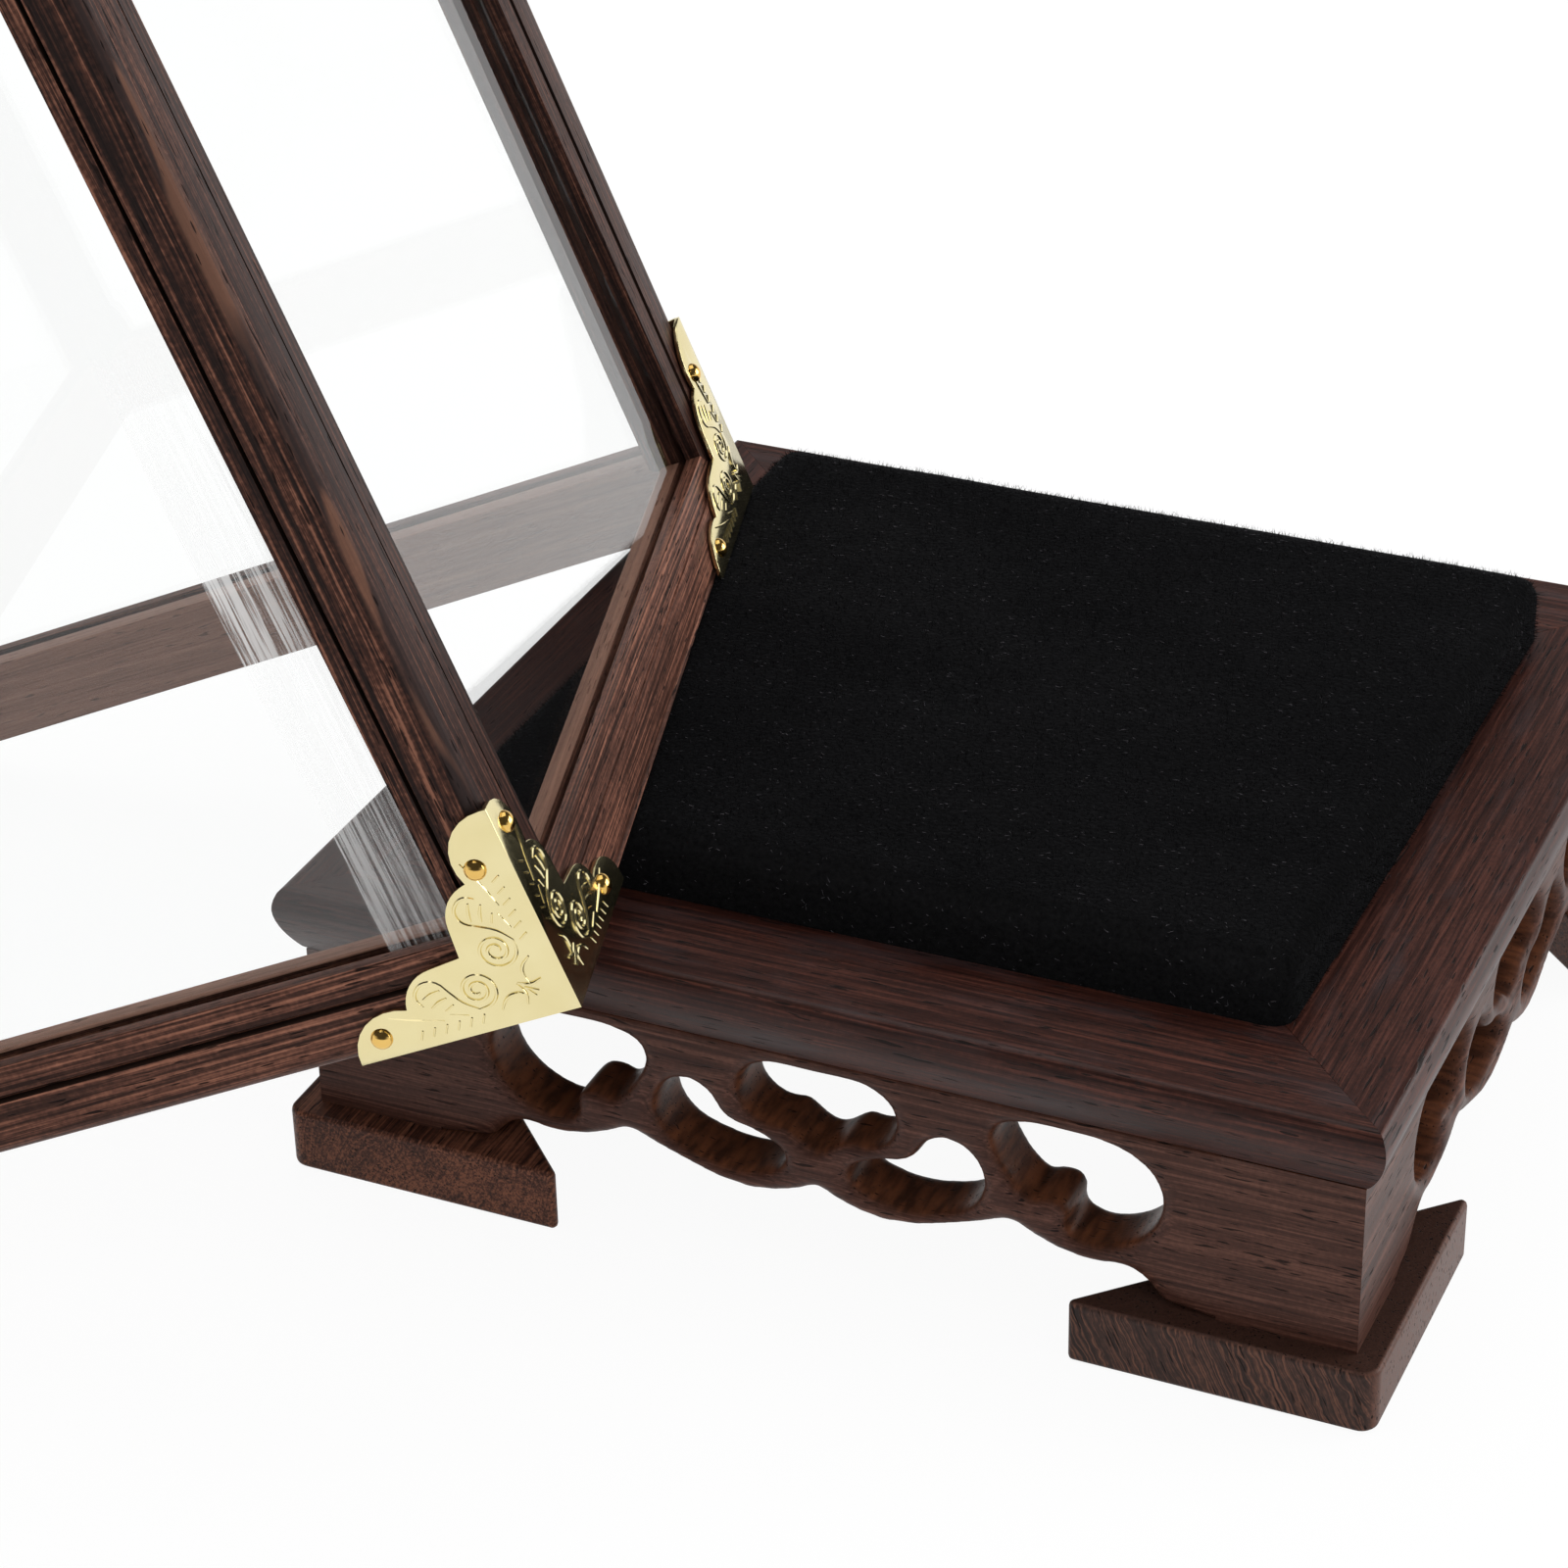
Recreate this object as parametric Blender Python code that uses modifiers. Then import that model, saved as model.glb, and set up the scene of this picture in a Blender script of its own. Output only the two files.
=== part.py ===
"""Carved hardwood display stand with a velvet bed, and the glass cover that leans on it.

The stand is four mitred, pierced aprons on three-cornered feet, under a moulded border that frames a
velvet-covered board. The cover is a five-sided glass case in a hardwood frame with pressed brass corners.
It has been lifted off: its open bottom faces the stand, one bottom rail is on the floor and the other on
the velvet.
"""

import math

import bmesh
import bpy
from mathutils import Matrix, Vector

# Lengths are in metres. Pieces that touch keep this gap.
GAP = 0.0003

# Feet: three-cornered plates at the corners of the stand
STAND_WIDTH = 0.160
STAND_DEPTH = 0.1545
FOOT_LEG = 0.0433
FOOT_THICKNESS = 0.0096
FOOT_HEEL_RADIUS = 0.0025
FOOT_TOE_RADIUS = 0.0008

# Aprons, pierced and scalloped on a grid measured from the middle of the apron's lower edge
APRON_INSET = 0.0038
APRON_THICKNESS = 0.0105
APRON_TOP_WEB = 0.0025
GRID_ACROSS = 0.001
GRID_UP = 0.001

# Border round the velvet: its nose swells out from the apron's face and turns back to an arris at the top
BORDER_WIDTH = 0.017
BORDER_HEIGHT = 0.0105
NOSE_LEVEL = 0.0073
NOSE_REACH = 0.0031
NOSE_TOP_REACH = 0.002
NOSE_SWELL = 1.7

# Deck board in the border's rebate, and the velvet bed on it
DECK_THICKNESS = 0.006
DECK_LAP = 0.005
BED_CLEARANCE = 0.0005
BED_RISE = 0.0073
BED_EDGE_RADIUS = 0.003
VELVET_THICKNESS = 0.0015

# Cover frame
COVER_WIDTH = 0.157
COVER_DEPTH = 0.1465
COVER_HEIGHT = 0.200
BAR = 0.0102
BAR_SIDE = 0.013
BASE_RAIL_HEIGHT = 0.013
BASE_RAIL_THICKNESS = 0.007
BAR_EDGE_RADIUS = 0.0025

# Moulding beside the glass: a groove, then a strip that falls a little towards the pane
STRIP_WIDTH = 0.0024
SIDE_STRIP_WIDTH = 0.0041
STRIP_STEP = 0.0002
STRIP_FALL = 0.0004
GROOVE_WIDTH = 0.0007
SIDE_GROOVE_WIDTH = 0.0008
GROOVE_DEPTH = 0.0014

# Glass
PANE_THICKNESS = 0.002
PANE_SETBACK = 0.003
PANE_LAP = 0.003

# Brass corners: each flange ends in two round lobes, a side lobe and a notch on its middle line
BRASS_THICKNESS = 0.0006
BRASS_LEG = 0.0303
BRASS_END_RADIUS = 0.0066
BRASS_SIDE_RADIUS = 0.006
BRASS_SIDE_ALONG = 0.0152
BRASS_SIDE_IN = 0.0049
BRASS_NOTCH = 0.0113
PIN_RADIUS = 0.0014
PIN_CROWN_RADIUS = 0.0009
PIN_RISE = 0.0005
PIN_FROM_END = (0.0043, 0.0076)
PIN_FROM_FOLD = (0.0031, 0.0039)

# How the cover leans: its raised near corner, measured from the stand's front left corner
COVER_TURN = math.radians(15.88)
COVER_CORNER_RIGHT = 0.0599
COVER_CORNER_AHEAD = 0.0234

# Steps on round outlines
ARC_STEPS = 8
CURVE_STEPS = 4

SMOOTH = "AUTO"
SHARP = "VECTOR"

# Right half of the apron's pattern in grid steps: across from the middle, up from the lower edge
LOWER_EDGE = (
    (49.0, 0.0, SHARP),
    (47.2, 2.6, SMOOTH),
    (44.3, 4.3, SHARP),
    (38.5, 3.7, SMOOTH),
    (32.0, 5.2, SMOOTH),
    (28.0, 7.4, SHARP),
    (20.0, 4.2, SMOOTH),
    (10.5, 2.1, SMOOTH),
    (3.5, 3.4, SMOOTH),
)
LOWER_EDGE_MIDDLE = 5.2
END_CLOUD = (
    (25.4, 20.8, SMOOTH),
    (29.0, 22.5, SMOOTH),
    (36.0, 22.8, SMOOTH),
    (44.6, 21.4, SMOOTH),
    (48.5, 16.8, SMOOTH),
    (47.4, 11.0, SMOOTH),
    (43.4, 7.4, SMOOTH),
    (38.8, 6.2, SMOOTH),
    (35.5, 7.4, SMOOTH),
    (35.9, 10.4, SMOOTH),
    (33.4, 12.1, SMOOTH),
    (30.4, 10.8, SHARP),
    (27.3, 14.2, SMOOTH),
)
CRESCENT = (
    (18.6, 17.4, SMOOTH),
    (23.1, 14.9, SMOOTH),
    (23.1, 8.8, SMOOTH),
    (16.2, 5.1, SMOOTH),
    (8.2, 5.3, SMOOTH),
    (4.5, 8.2, SMOOTH),
    (8.2, 11.2, SMOOTH),
    (14.0, 13.0, SMOOTH),
    (15.4, 15.6, SMOOTH),
)
MIDDLE_CLOUD = (
    (2.4, 12.0, SMOOTH),
    (4.6, 13.6, SHARP),
    (7.8, 13.2, SMOOTH),
    (11.3, 16.6, SMOOTH),
    (9.9, 21.4, SMOOTH),
)
MIDDLE_CLOUD_BOTTOM = 10.5
MIDDLE_CLOUD_TOP = 22.9

# Levels of the stand, and the height that its border's outer edge and the velvet reach
APRON_BOTTOM = FOOT_THICKNESS + GAP
APRON_HEIGHT = MIDDLE_CLOUD_TOP * GRID_UP + APRON_TOP_WEB
BORDER_BOTTOM = APRON_BOTTOM + APRON_HEIGHT + GAP
BORDER_TOP = BORDER_BOTTOM + BORDER_HEIGHT
DECK_TOP = BORDER_BOTTOM + DECK_THICKNESS
BED_TOP = BORDER_TOP + BED_RISE
BRASS_OUT = GAP + BRASS_THICKNESS

X_AXIS = Vector((1, 0, 0))
Y_AXIS = Vector((0, 1, 0))
Z_AXIS = Vector((0, 0, 1))


def clear_scene():
    for obj in list(bpy.data.objects):
        bpy.data.objects.remove(obj, do_unlink=True)


def make_collection(name):
    collection = bpy.data.collections.new(name)
    bpy.context.scene.collection.children.link(collection)
    return collection


def make_material(name, colour, roughness, metallic=0.0, transmission=0.0):
    material = bpy.data.materials.new(name)
    material.use_nodes = True
    shader = material.node_tree.nodes["Principled BSDF"]
    shader.inputs["Base Color"].default_value = (*colour, 1.0)
    shader.inputs["Roughness"].default_value = roughness
    shader.inputs["Metallic"].default_value = metallic
    shader.inputs["Transmission Weight"].default_value = transmission
    material.diffuse_color = (*colour, 1.0)
    return material


def make_empty(name, parent=None):
    empty = bpy.data.objects.new(name, None)
    parts.objects.link(empty)
    empty.parent = parent
    return empty


def add_part(name, mesh, material, parent, place=Matrix()):
    """A named piece that shows this mesh under its parent."""
    obj = bpy.data.objects.new(name, mesh)
    parts.objects.link(obj)
    obj.parent = parent
    obj.matrix_local = place
    if not mesh.materials:
        mesh.materials.append(material)
    return obj


def mesh_of(bm, name):
    """The finished mesh, faces out, flat faces kept flat and round ones smooth."""
    bmesh.ops.recalc_face_normals(bm, faces=bm.faces)
    mesh = bpy.data.meshes.new(name)
    bm.to_mesh(mesh)
    bm.free()
    mesh.shade_smooth()
    mesh.set_sharp_from_angle(angle=math.radians(35))
    return mesh


def arc(centre, radius, start, end):
    """Points on an arc, both ends included, angles in degrees."""
    angles = [math.radians(start + (end - start) * i / ARC_STEPS) for i in range(ARC_STEPS + 1)]
    return [(centre[0] + radius * math.cos(a), centre[1] + radius * math.sin(a)) for a in angles]


def extruded(loops, depth):
    """A solid from flat loops, outline first and holes after, between z = 0 and depth.

    A loop point is (x, y) for straight runs, or (x, y, handle) on a smooth curve.
    """
    curve = bpy.data.curves.new("outline", "CURVE")
    curve.dimensions = "2D"
    curve.fill_mode = "BOTH"
    curve.extrude = depth / 2
    curve.resolution_u = CURVE_STEPS
    for loop in loops:
        if len(loop[0]) == 2:
            spline = curve.splines.new("POLY")
            spline.points.add(len(loop) - 1)
            for point, (x, y) in zip(spline.points, loop):
                point.co = (x, y, 0, 1)
        else:
            spline = curve.splines.new("BEZIER")
            spline.bezier_points.add(len(loop) - 1)
            for point, (x, y, handle) in zip(spline.bezier_points, loop):
                point.co = (x, y, 0)
                point.handle_left_type = handle
                point.handle_right_type = handle
        spline.use_cyclic_u = True
    guide = bpy.data.objects.new("outline", curve)
    guides.objects.link(guide)
    graph = bpy.context.evaluated_depsgraph_get()
    mesh = bpy.data.meshes.new_from_object(guide.evaluated_get(graph))
    bpy.data.objects.remove(guide, do_unlink=True)
    bpy.data.curves.remove(curve)
    bm = bmesh.new()
    bm.from_mesh(mesh)
    bpy.data.meshes.remove(mesh)
    bmesh.ops.remove_doubles(bm, verts=bm.verts, dist=1e-6)
    bmesh.ops.translate(bm, verts=bm.verts, vec=(0, 0, depth / 2))
    return bm


def axes_place(x_axis, y_axis, z_axis, origin):
    """The matrix that lays a shape's own axes along three directions."""
    place = Matrix((x_axis, y_axis, z_axis)).transposed().to_4x4()
    place.translation = origin
    return place


def cut(bm, point, normal):
    """Cut a solid by a plane and keep the side that the normal points to."""
    geometry = bm.verts[:] + bm.edges[:] + bm.faces[:]
    result = bmesh.ops.bisect_plane(
        bm, geom=geometry, dist=1e-7, plane_co=point, plane_no=normal, clear_inner=True
    )
    edges = [piece for piece in result["geom_cut"] if isinstance(piece, bmesh.types.BMEdge)]
    bmesh.ops.edgeloop_fill(bm, edges=edges)


def box(low, high):
    bm = bmesh.new()
    size = [b - a for a, b in zip(low, high)]
    middle = [(a + b) / 2 for a, b in zip(low, high)]
    bmesh.ops.create_cube(bm, size=1.0)
    bmesh.ops.scale(bm, verts=bm.verts, vec=size)
    bmesh.ops.translate(bm, verts=bm.verts, vec=middle)
    return bm


def side_places():
    """Name, inward direction, direction along, half span across and half length of each side of the stand."""
    half_width = STAND_WIDTH / 2
    half_depth = STAND_DEPTH / 2
    return (
        ("front", Y_AXIS, X_AXIS, half_depth, half_width),
        ("right", -X_AXIS, Y_AXIS, half_width, half_depth),
        ("back", -Y_AXIS, -X_AXIS, half_depth, half_width),
        ("left", X_AXIS, -Y_AXIS, half_width, half_depth),
    )


def mitre_ends(bm, inward, along, across, length):
    """Cut both ends of a side of the stand at 45 degrees, on lines through the corners of its outer edge."""
    for end in (along, -along):
        corner = end * length - inward * across
        normal = -(inward + end).normalized()
        cut(bm, corner + normal * GAP / 2, normal)


def foot_outline():
    toe = FOOT_TOE_RADIUS
    heel = FOOT_HEEL_RADIUS
    toe_far = FOOT_LEG - toe * (1 + math.sqrt(2))
    return (
        arc((heel, heel), heel, 180, 270)
        + arc((toe_far, toe), toe, 270, 405)
        + arc((toe, toe_far), toe, 45, 180)
    )


def make_feet(stand):
    mesh = mesh_of(extruded([foot_outline()], FOOT_THICKNESS), "foot")
    corners = (
        ("front_left", X_AXIS, Y_AXIS),
        ("front_right", Y_AXIS, -X_AXIS),
        ("back_right", -X_AXIS, -Y_AXIS),
        ("back_left", -Y_AXIS, X_AXIS),
    )
    for name, first, second in corners:
        inward = first + second
        origin = Vector((-inward.x * STAND_WIDTH / 2, -inward.y * STAND_DEPTH / 2, 0))
        add_part(f"foot_{name}", mesh, dark_wood, stand, axes_place(first, second, Z_AXIS, origin))


def grid(points, mirrored=False):
    side = -1 if mirrored else 1
    placed = [(side * x * GRID_ACROSS, z * GRID_UP, handle) for x, z, handle in points]
    return placed[::-1] if mirrored else placed


def both_sides(points, start, end):
    """A symmetric loop: its right half, from a point on the middle line to another."""
    first = (0.0, start * GRID_UP, SMOOTH)
    last = (0.0, end * GRID_UP, SMOOTH)
    return [first, *grid(points), last, *grid(points, mirrored=True)]


def apron_loops(length):
    """The outline and the piercings of an apron whose outer face is this long to each side of its middle."""
    low = [(length, 0.0, SHARP), (length, APRON_HEIGHT, SHARP)]
    edge = grid(LOWER_EDGE)[::-1]
    outline = [(0.0, LOWER_EDGE_MIDDLE * GRID_UP, SHARP), *edge, *low]
    outline += [(-x, z, handle) for x, z, handle in reversed(outline[1:])]
    return [
        outline,
        both_sides(MIDDLE_CLOUD, MIDDLE_CLOUD_BOTTOM, MIDDLE_CLOUD_TOP),
        *(grid(shape, mirrored) for shape in (CRESCENT, END_CLOUD) for mirrored in (False, True)),
    ]


def make_aprons(stand):
    for name, inward, along, across, length in side_places():
        outer = across - APRON_INSET
        half_length = length - APRON_INSET
        bm = extruded(apron_loops(half_length), APRON_THICKNESS)
        origin = -inward * outer + Z_AXIS * APRON_BOTTOM
        bm.transform(axes_place(along, Z_AXIS, inward, origin))
        mitre_ends(bm, inward, along, outer, half_length)
        add_part(f"apron_{name}", mesh_of(bm, f"apron_{name}"), dark_wood, stand)


def nose_reach(height):
    """How far the border stands out from the apron's face, at a height above its underside."""
    if height < NOSE_LEVEL:
        return NOSE_REACH * (1 - (1 - height / NOSE_LEVEL) ** NOSE_SWELL)
    rise = (height - NOSE_LEVEL) / (BORDER_HEIGHT - NOSE_LEVEL)
    return NOSE_REACH - (NOSE_REACH - NOSE_TOP_REACH) * rise**2


def border_section():
    """Section of the border: x inward from the apron's face, y up from the border's underside."""
    inner = BORDER_WIDTH - NOSE_REACH
    rebate = inner - DECK_LAP
    rebate_top = DECK_THICKNESS + GAP
    turn = BORDER_HEIGHT - NOSE_LEVEL
    heights = [NOSE_LEVEL * i / ARC_STEPS for i in range(ARC_STEPS)]
    heights += [NOSE_LEVEL + turn * i / CURVE_STEPS for i in range(CURVE_STEPS + 1)]
    nose = [(-nose_reach(height), height) for height in heights]
    back = [(inner, BORDER_HEIGHT), (inner, rebate_top), (rebate, rebate_top), (rebate, 0.0)]
    return nose + back


def make_border(stand):
    for name, inward, along, across, length in side_places():
        outer = across - APRON_INSET
        half_length = length - APRON_INSET
        total = 2 * (half_length + NOSE_REACH)
        bm = extruded([border_section()], total)
        origin = -inward * outer + Z_AXIS * BORDER_BOTTOM - along * total / 2
        bm.transform(axes_place(inward, Z_AXIS, along, origin))
        mitre_ends(bm, inward, along, outer, half_length)
        add_part(f"top_rail_{name}", mesh_of(bm, f"top_rail_{name}"), dark_wood, stand)


def bed_half(span):
    """Half the velvet's size, inside the border, along a side of the stand with this span."""
    return span / 2 - APRON_INSET + NOSE_REACH - BORDER_WIDTH - BED_CLEARANCE


def make_bed(stand):
    deck_x = bed_half(STAND_WIDTH) + BED_CLEARANCE + DECK_LAP - GAP
    deck_y = bed_half(STAND_DEPTH) + BED_CLEARANCE + DECK_LAP - GAP
    deck = box((-deck_x, -deck_y, BORDER_BOTTOM), (deck_x, deck_y, DECK_TOP))
    add_part("deck_board", mesh_of(deck, "deck_board"), plain_wood, stand)

    bed_x = bed_half(STAND_WIDTH)
    bed_y = bed_half(STAND_DEPTH)
    bottom = DECK_TOP + GAP
    velvet = box((-bed_x, -bed_y, bottom), (bed_x, bed_y, BED_TOP))
    bmesh.ops.delete(velvet, geom=[f for f in velvet.faces if f.normal.z < -0.5], context="FACES")
    velvet_skin = add_part("velvet_bed", mesh_of(velvet, "velvet_bed"), velvet_cloth, stand)
    edges = velvet_skin.modifiers.new("soft_edges", "BEVEL")
    edges.width = BED_EDGE_RADIUS
    edges.segments = 4
    skin = velvet_skin.modifiers.new("skin", "SOLIDIFY")
    skin.thickness = VELVET_THICKNESS
    skin.offset = -1

    inside = VELVET_THICKNESS + GAP
    low = (-bed_x + inside, -bed_y + inside, bottom)
    high = (bed_x - inside, bed_y - inside, BED_TOP - inside)
    board = add_part("bed_board", mesh_of(box(low, high), "bed_board"), plain_wood, stand)
    rounding = board.modifiers.new("rounding", "BEVEL")
    rounding.width = max(BED_EDGE_RADIUS - inside, 0) + GAP
    rounding.segments = 3


def moulding(width, strip_width, groove_width):
    """The side of a bar beside the glass: x across a face this wide, y in from the face."""
    strip = width - strip_width
    face = strip - groove_width
    slot_out = PANE_SETBACK - GAP
    slot_in = PANE_SETBACK + PANE_THICKNESS + GAP
    slot_end = width - PANE_LAP - GAP
    return [
        (face, 0.0),
        (face, GROOVE_DEPTH),
        (strip, GROOVE_DEPTH),
        (strip, STRIP_STEP),
        (width, STRIP_FALL),
        (width, slot_out),
        (slot_end, slot_out),
        (slot_end, slot_in),
        (width, slot_in),
    ]


def rounded_edge():
    return arc((BAR_EDGE_RADIUS, BAR_EDGE_RADIUS), BAR_EDGE_RADIUS, 180, 270)


def bar_section(side_width):
    """Section of a stile or top rail: x and y inward from its two outer faces."""
    front = moulding(BAR, STRIP_WIDTH, GROOVE_WIDTH)
    side = moulding(side_width, SIDE_STRIP_WIDTH, SIDE_GROOVE_WIDTH)
    return rounded_edge() + front + [(BAR, side_width)] + [(y, x) for x, y in reversed(side)]


def base_rail_section(thickness):
    """Section of a bottom rail: x up from its underside, y inward from its outer face."""
    face = moulding(BASE_RAIL_HEIGHT, SIDE_STRIP_WIDTH, SIDE_GROOVE_WIDTH)
    return rounded_edge() + face + [(BASE_RAIL_HEIGHT, thickness), (0.0, thickness)]


def cover_corner(x_side, y_side, z_side):
    """A corner of the cover's outer box, and the directions from it into the box."""
    point = Vector((x_side * COVER_WIDTH, y_side * COVER_DEPTH, z_side * COVER_HEIGHT))
    inward = Vector((1 - 2 * x_side, 1 - 2 * y_side, 1 - 2 * z_side))
    return point, inward


def mitre_bar(bm, own, corner, inward, share):
    """Cut one end of a bar where three bars meet, so that it keeps what is furthest along its own axis."""
    for other in range(3):
        if other == own:
            continue
        normal = Vector((0, 0, 0))
        normal[own] = inward[own] / share[own]
        normal[other] = -inward[other] / share[other]
        normal.normalize()
        cut(bm, corner + normal * GAP / 2, normal)


def make_bar(name, section, own, ends, first_axis, second_axis, cover):
    """A bar of the cover between two corners, its section laid along two directions into the box."""
    start, inward = cover_corner(*ends[0])
    length = (COVER_WIDTH, COVER_DEPTH, COVER_HEIGHT)[own]
    along = (X_AXIS, Y_AXIS, Z_AXIS)[own]
    axes = (X_AXIS * inward.x, Y_AXIS * inward.y, Z_AXIS * inward.z)
    bm = extruded([section], length)
    bm.transform(axes_place(axes[first_axis], axes[second_axis], along, start))
    for end in ends:
        corner, inward = cover_corner(*end)
        share = (BAR, BAR_SIDE, BAR if end[2] else BASE_RAIL_HEIGHT)
        mitre_bar(bm, own, corner, inward, share)
    add_part(name, mesh_of(bm, name), dark_wood, cover)


def make_frame(cover):
    for y_side, depth_name in ((0, "front"), (1, "back")):
        for x_side, width_name in ((0, "left"), (1, "right")):
            ends = ((x_side, y_side, 0), (x_side, y_side, 1))
            make_bar(f"cover_stile_{depth_name}_{width_name}", bar_section(BAR_SIDE), 2, ends, 0, 1, cover)
    front_thickness = BASE_RAIL_THICKNESS * BAR_SIDE / BAR
    sections = (
        (0, "base", base_rail_section(front_thickness), base_rail_section(BASE_RAIL_THICKNESS)),
        (1, "top", bar_section(BAR_SIDE), bar_section(BAR)),
    )
    for z_side, kind, across_section, deep_section in sections:
        for side, name in ((0, "front"), (1, "back")):
            ends = ((0, side, z_side), (1, side, z_side))
            make_bar(f"cover_{kind}_rail_{name}", across_section, 0, ends, 2, 1, cover)
        for side, name in ((0, "left"), (1, "right")):
            ends = ((side, 0, z_side), (side, 1, z_side))
            make_bar(f"cover_{kind}_rail_{name}", deep_section, 1, ends, 2, 0, cover)


def make_panes(cover):
    edge = BAR - PANE_LAP
    side_edge = BAR_SIDE - PANE_LAP
    foot = BASE_RAIL_HEIGHT - PANE_LAP
    near = PANE_SETBACK
    far = PANE_SETBACK + PANE_THICKNESS
    wide = COVER_WIDTH - edge
    deep = COVER_DEPTH - side_edge
    tall = COVER_HEIGHT - edge
    panes = {
        "front": ((edge, near, foot), (wide, far, tall)),
        "back": ((edge, COVER_DEPTH - far, foot), (wide, COVER_DEPTH - near, tall)),
        "left": ((near, side_edge, foot), (far, deep, tall)),
        "right": ((COVER_WIDTH - far, side_edge, foot), (COVER_WIDTH - near, deep, tall)),
        "top": ((edge, side_edge, COVER_HEIGHT - far), (wide, deep, COVER_HEIGHT - near)),
    }
    for name, (low, high) in panes.items():
        add_part(f"cover_pane_{name}", mesh_of(box(low, high), f"pane_{name}"), glass, cover)


def crossing(first, first_radius, second, second_radius):
    """Where two circles cross, on the left of the line from the first to the second."""
    line = Vector(second) - Vector(first)
    along = (line.length**2 + first_radius**2 - second_radius**2) / (2 * line.length)
    aside = math.sqrt(first_radius**2 - along**2)
    step = line.normalized()
    return Vector(first) + step * along + Vector((step.y, -step.x)) * aside


def angle_from(centre, point):
    return math.degrees(math.atan2(point[1] - centre[1], point[0] - centre[0]))


def flange_outline(folds_under):
    """One flange of a brass corner: x and y inward along its two edges, with a fold on one or both."""
    end_centre = (BRASS_LEG - BRASS_END_RADIUS, 0.0)
    side_centre = (BRASS_SIDE_ALONG, BRASS_SIDE_IN)
    meet = crossing(end_centre, BRASS_END_RADIUS, side_centre, BRASS_SIDE_RADIUS)
    notch = (BRASS_NOTCH, BRASS_NOTCH)
    reach = math.dist(side_centre, notch)
    last = angle_from(side_centre, notch) - math.degrees(math.acos(min(BRASS_SIDE_RADIUS / reach, 1)))
    half = (
        arc(end_centre, BRASS_END_RADIUS, 0, angle_from(end_centre, meet))
        + arc(side_centre, BRASS_SIDE_RADIUS, angle_from(side_centre, meet), last)[1:]
    )
    mirrored = [(y, x) for x, y in reversed(half)]
    under = [(-BRASS_OUT, -BRASS_OUT), (BRASS_LEG, -BRASS_OUT)] if folds_under else [(-BRASS_OUT, 0.0)]
    return under + half + [notch] + mirrored + [(-BRASS_OUT, BRASS_LEG)]


def add_guide(name, bm):
    guide = bpy.data.objects.new(name, mesh_of(bm, name))
    guides.objects.link(guide)
    guide.hide_render = True
    guide.display_type = "WIRE"
    return guide


def brass_mesh(name, flange_axes, folds_under):
    """The flanges and the heads of their pins, joined into one corner of bent sheet.

    A flange has one pin near its end and one further in. On the next flange they change places, so that
    the pins of two flanges pass each other in the wood.
    """
    pins = [(BRASS_LEG - end, fold) for end, fold in zip(PIN_FROM_END, PIN_FROM_FOLD)]
    shapes = []
    for i, axes in enumerate(flange_axes):
        turn = axes_place(*axes, Vector())
        flange = extruded([flange_outline(folds_under)], BRASS_THICKNESS)
        bmesh.ops.translate(flange, verts=flange.verts, vec=(0, 0, -BRASS_OUT))
        flange.transform(turn)
        shapes.append(flange)
        for x, y in (pins[1 - i % 2], pins[i % 2][::-1]):
            pin = bmesh.new()
            height = PIN_RISE + BRASS_THICKNESS / 2
            bmesh.ops.create_cone(
                pin,
                cap_ends=True,
                segments=10,
                radius1=PIN_CROWN_RADIUS,
                radius2=PIN_RADIUS,
                depth=height,
                matrix=Matrix.Translation((x, y, -BRASS_OUT - PIN_RISE + height / 2)),
            )
            pin.transform(turn)
            shapes.append(pin)
    pieces = [add_guide(f"brass_shape_{i}", bm) for i, bm in enumerate(shapes)]
    for piece in pieces[1:]:
        join = pieces[0].modifiers.new(piece.name, "BOOLEAN")
        join.operation = "UNION"
        join.object = piece
    graph = bpy.context.evaluated_depsgraph_get()
    joined = bpy.data.meshes.new_from_object(pieces[0].evaluated_get(graph))
    for piece in pieces:
        bpy.data.objects.remove(piece, do_unlink=True)
    joined.name = name
    return joined


def make_brass(cover):
    over_sides = ((X_AXIS, Z_AXIS, Y_AXIS), (Y_AXIS, Z_AXIS, X_AXIS))
    over_top = ((X_AXIS, Y_AXIS, Z_AXIS),)
    base_mesh = brass_mesh("brass_base", over_sides, folds_under=False)
    top_mesh = brass_mesh("brass_top", over_sides + over_top, folds_under=True)
    for z_side, height, mesh in ((0, "base", base_mesh), (1, "top", top_mesh)):
        for y_side, depth in ((0, "front"), (1, "back")):
            for x_side, width in ((0, "left"), (1, "right")):
                corner, inward = cover_corner(x_side, y_side, z_side)
                axes = [X_AXIS * inward.x, Y_AXIS * inward.y, Z_AXIS * inward.z]
                if inward.x * inward.y * inward.z < 0:
                    axes[0], axes[1] = axes[1], axes[0]
                place = axes_place(*axes, corner)
                add_part(f"brass_corner_{height}_{depth}_{width}", mesh, brass, cover, place)


def lean_cover(cover):
    """Tilt the cover until its left bottom rail meets the floor and its right bottom rail the velvet."""
    tilt = math.asin((BED_TOP + GAP) / (COVER_WIDTH - BASE_RAIL_THICKNESS + BRASS_OUT))
    turn = Matrix.Rotation(COVER_TURN, 4, "Z") @ Matrix.Rotation(-tilt, 4, "Y")
    floor = BRASS_OUT * math.sin(tilt)
    near = turn @ Vector((COVER_WIDTH, 0, 0))
    cover.matrix_local = turn
    cover.location = (
        COVER_CORNER_RIGHT - STAND_WIDTH / 2 - near.x,
        -COVER_CORNER_AHEAD - STAND_DEPTH / 2 - near.y,
        floor,
    )


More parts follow.
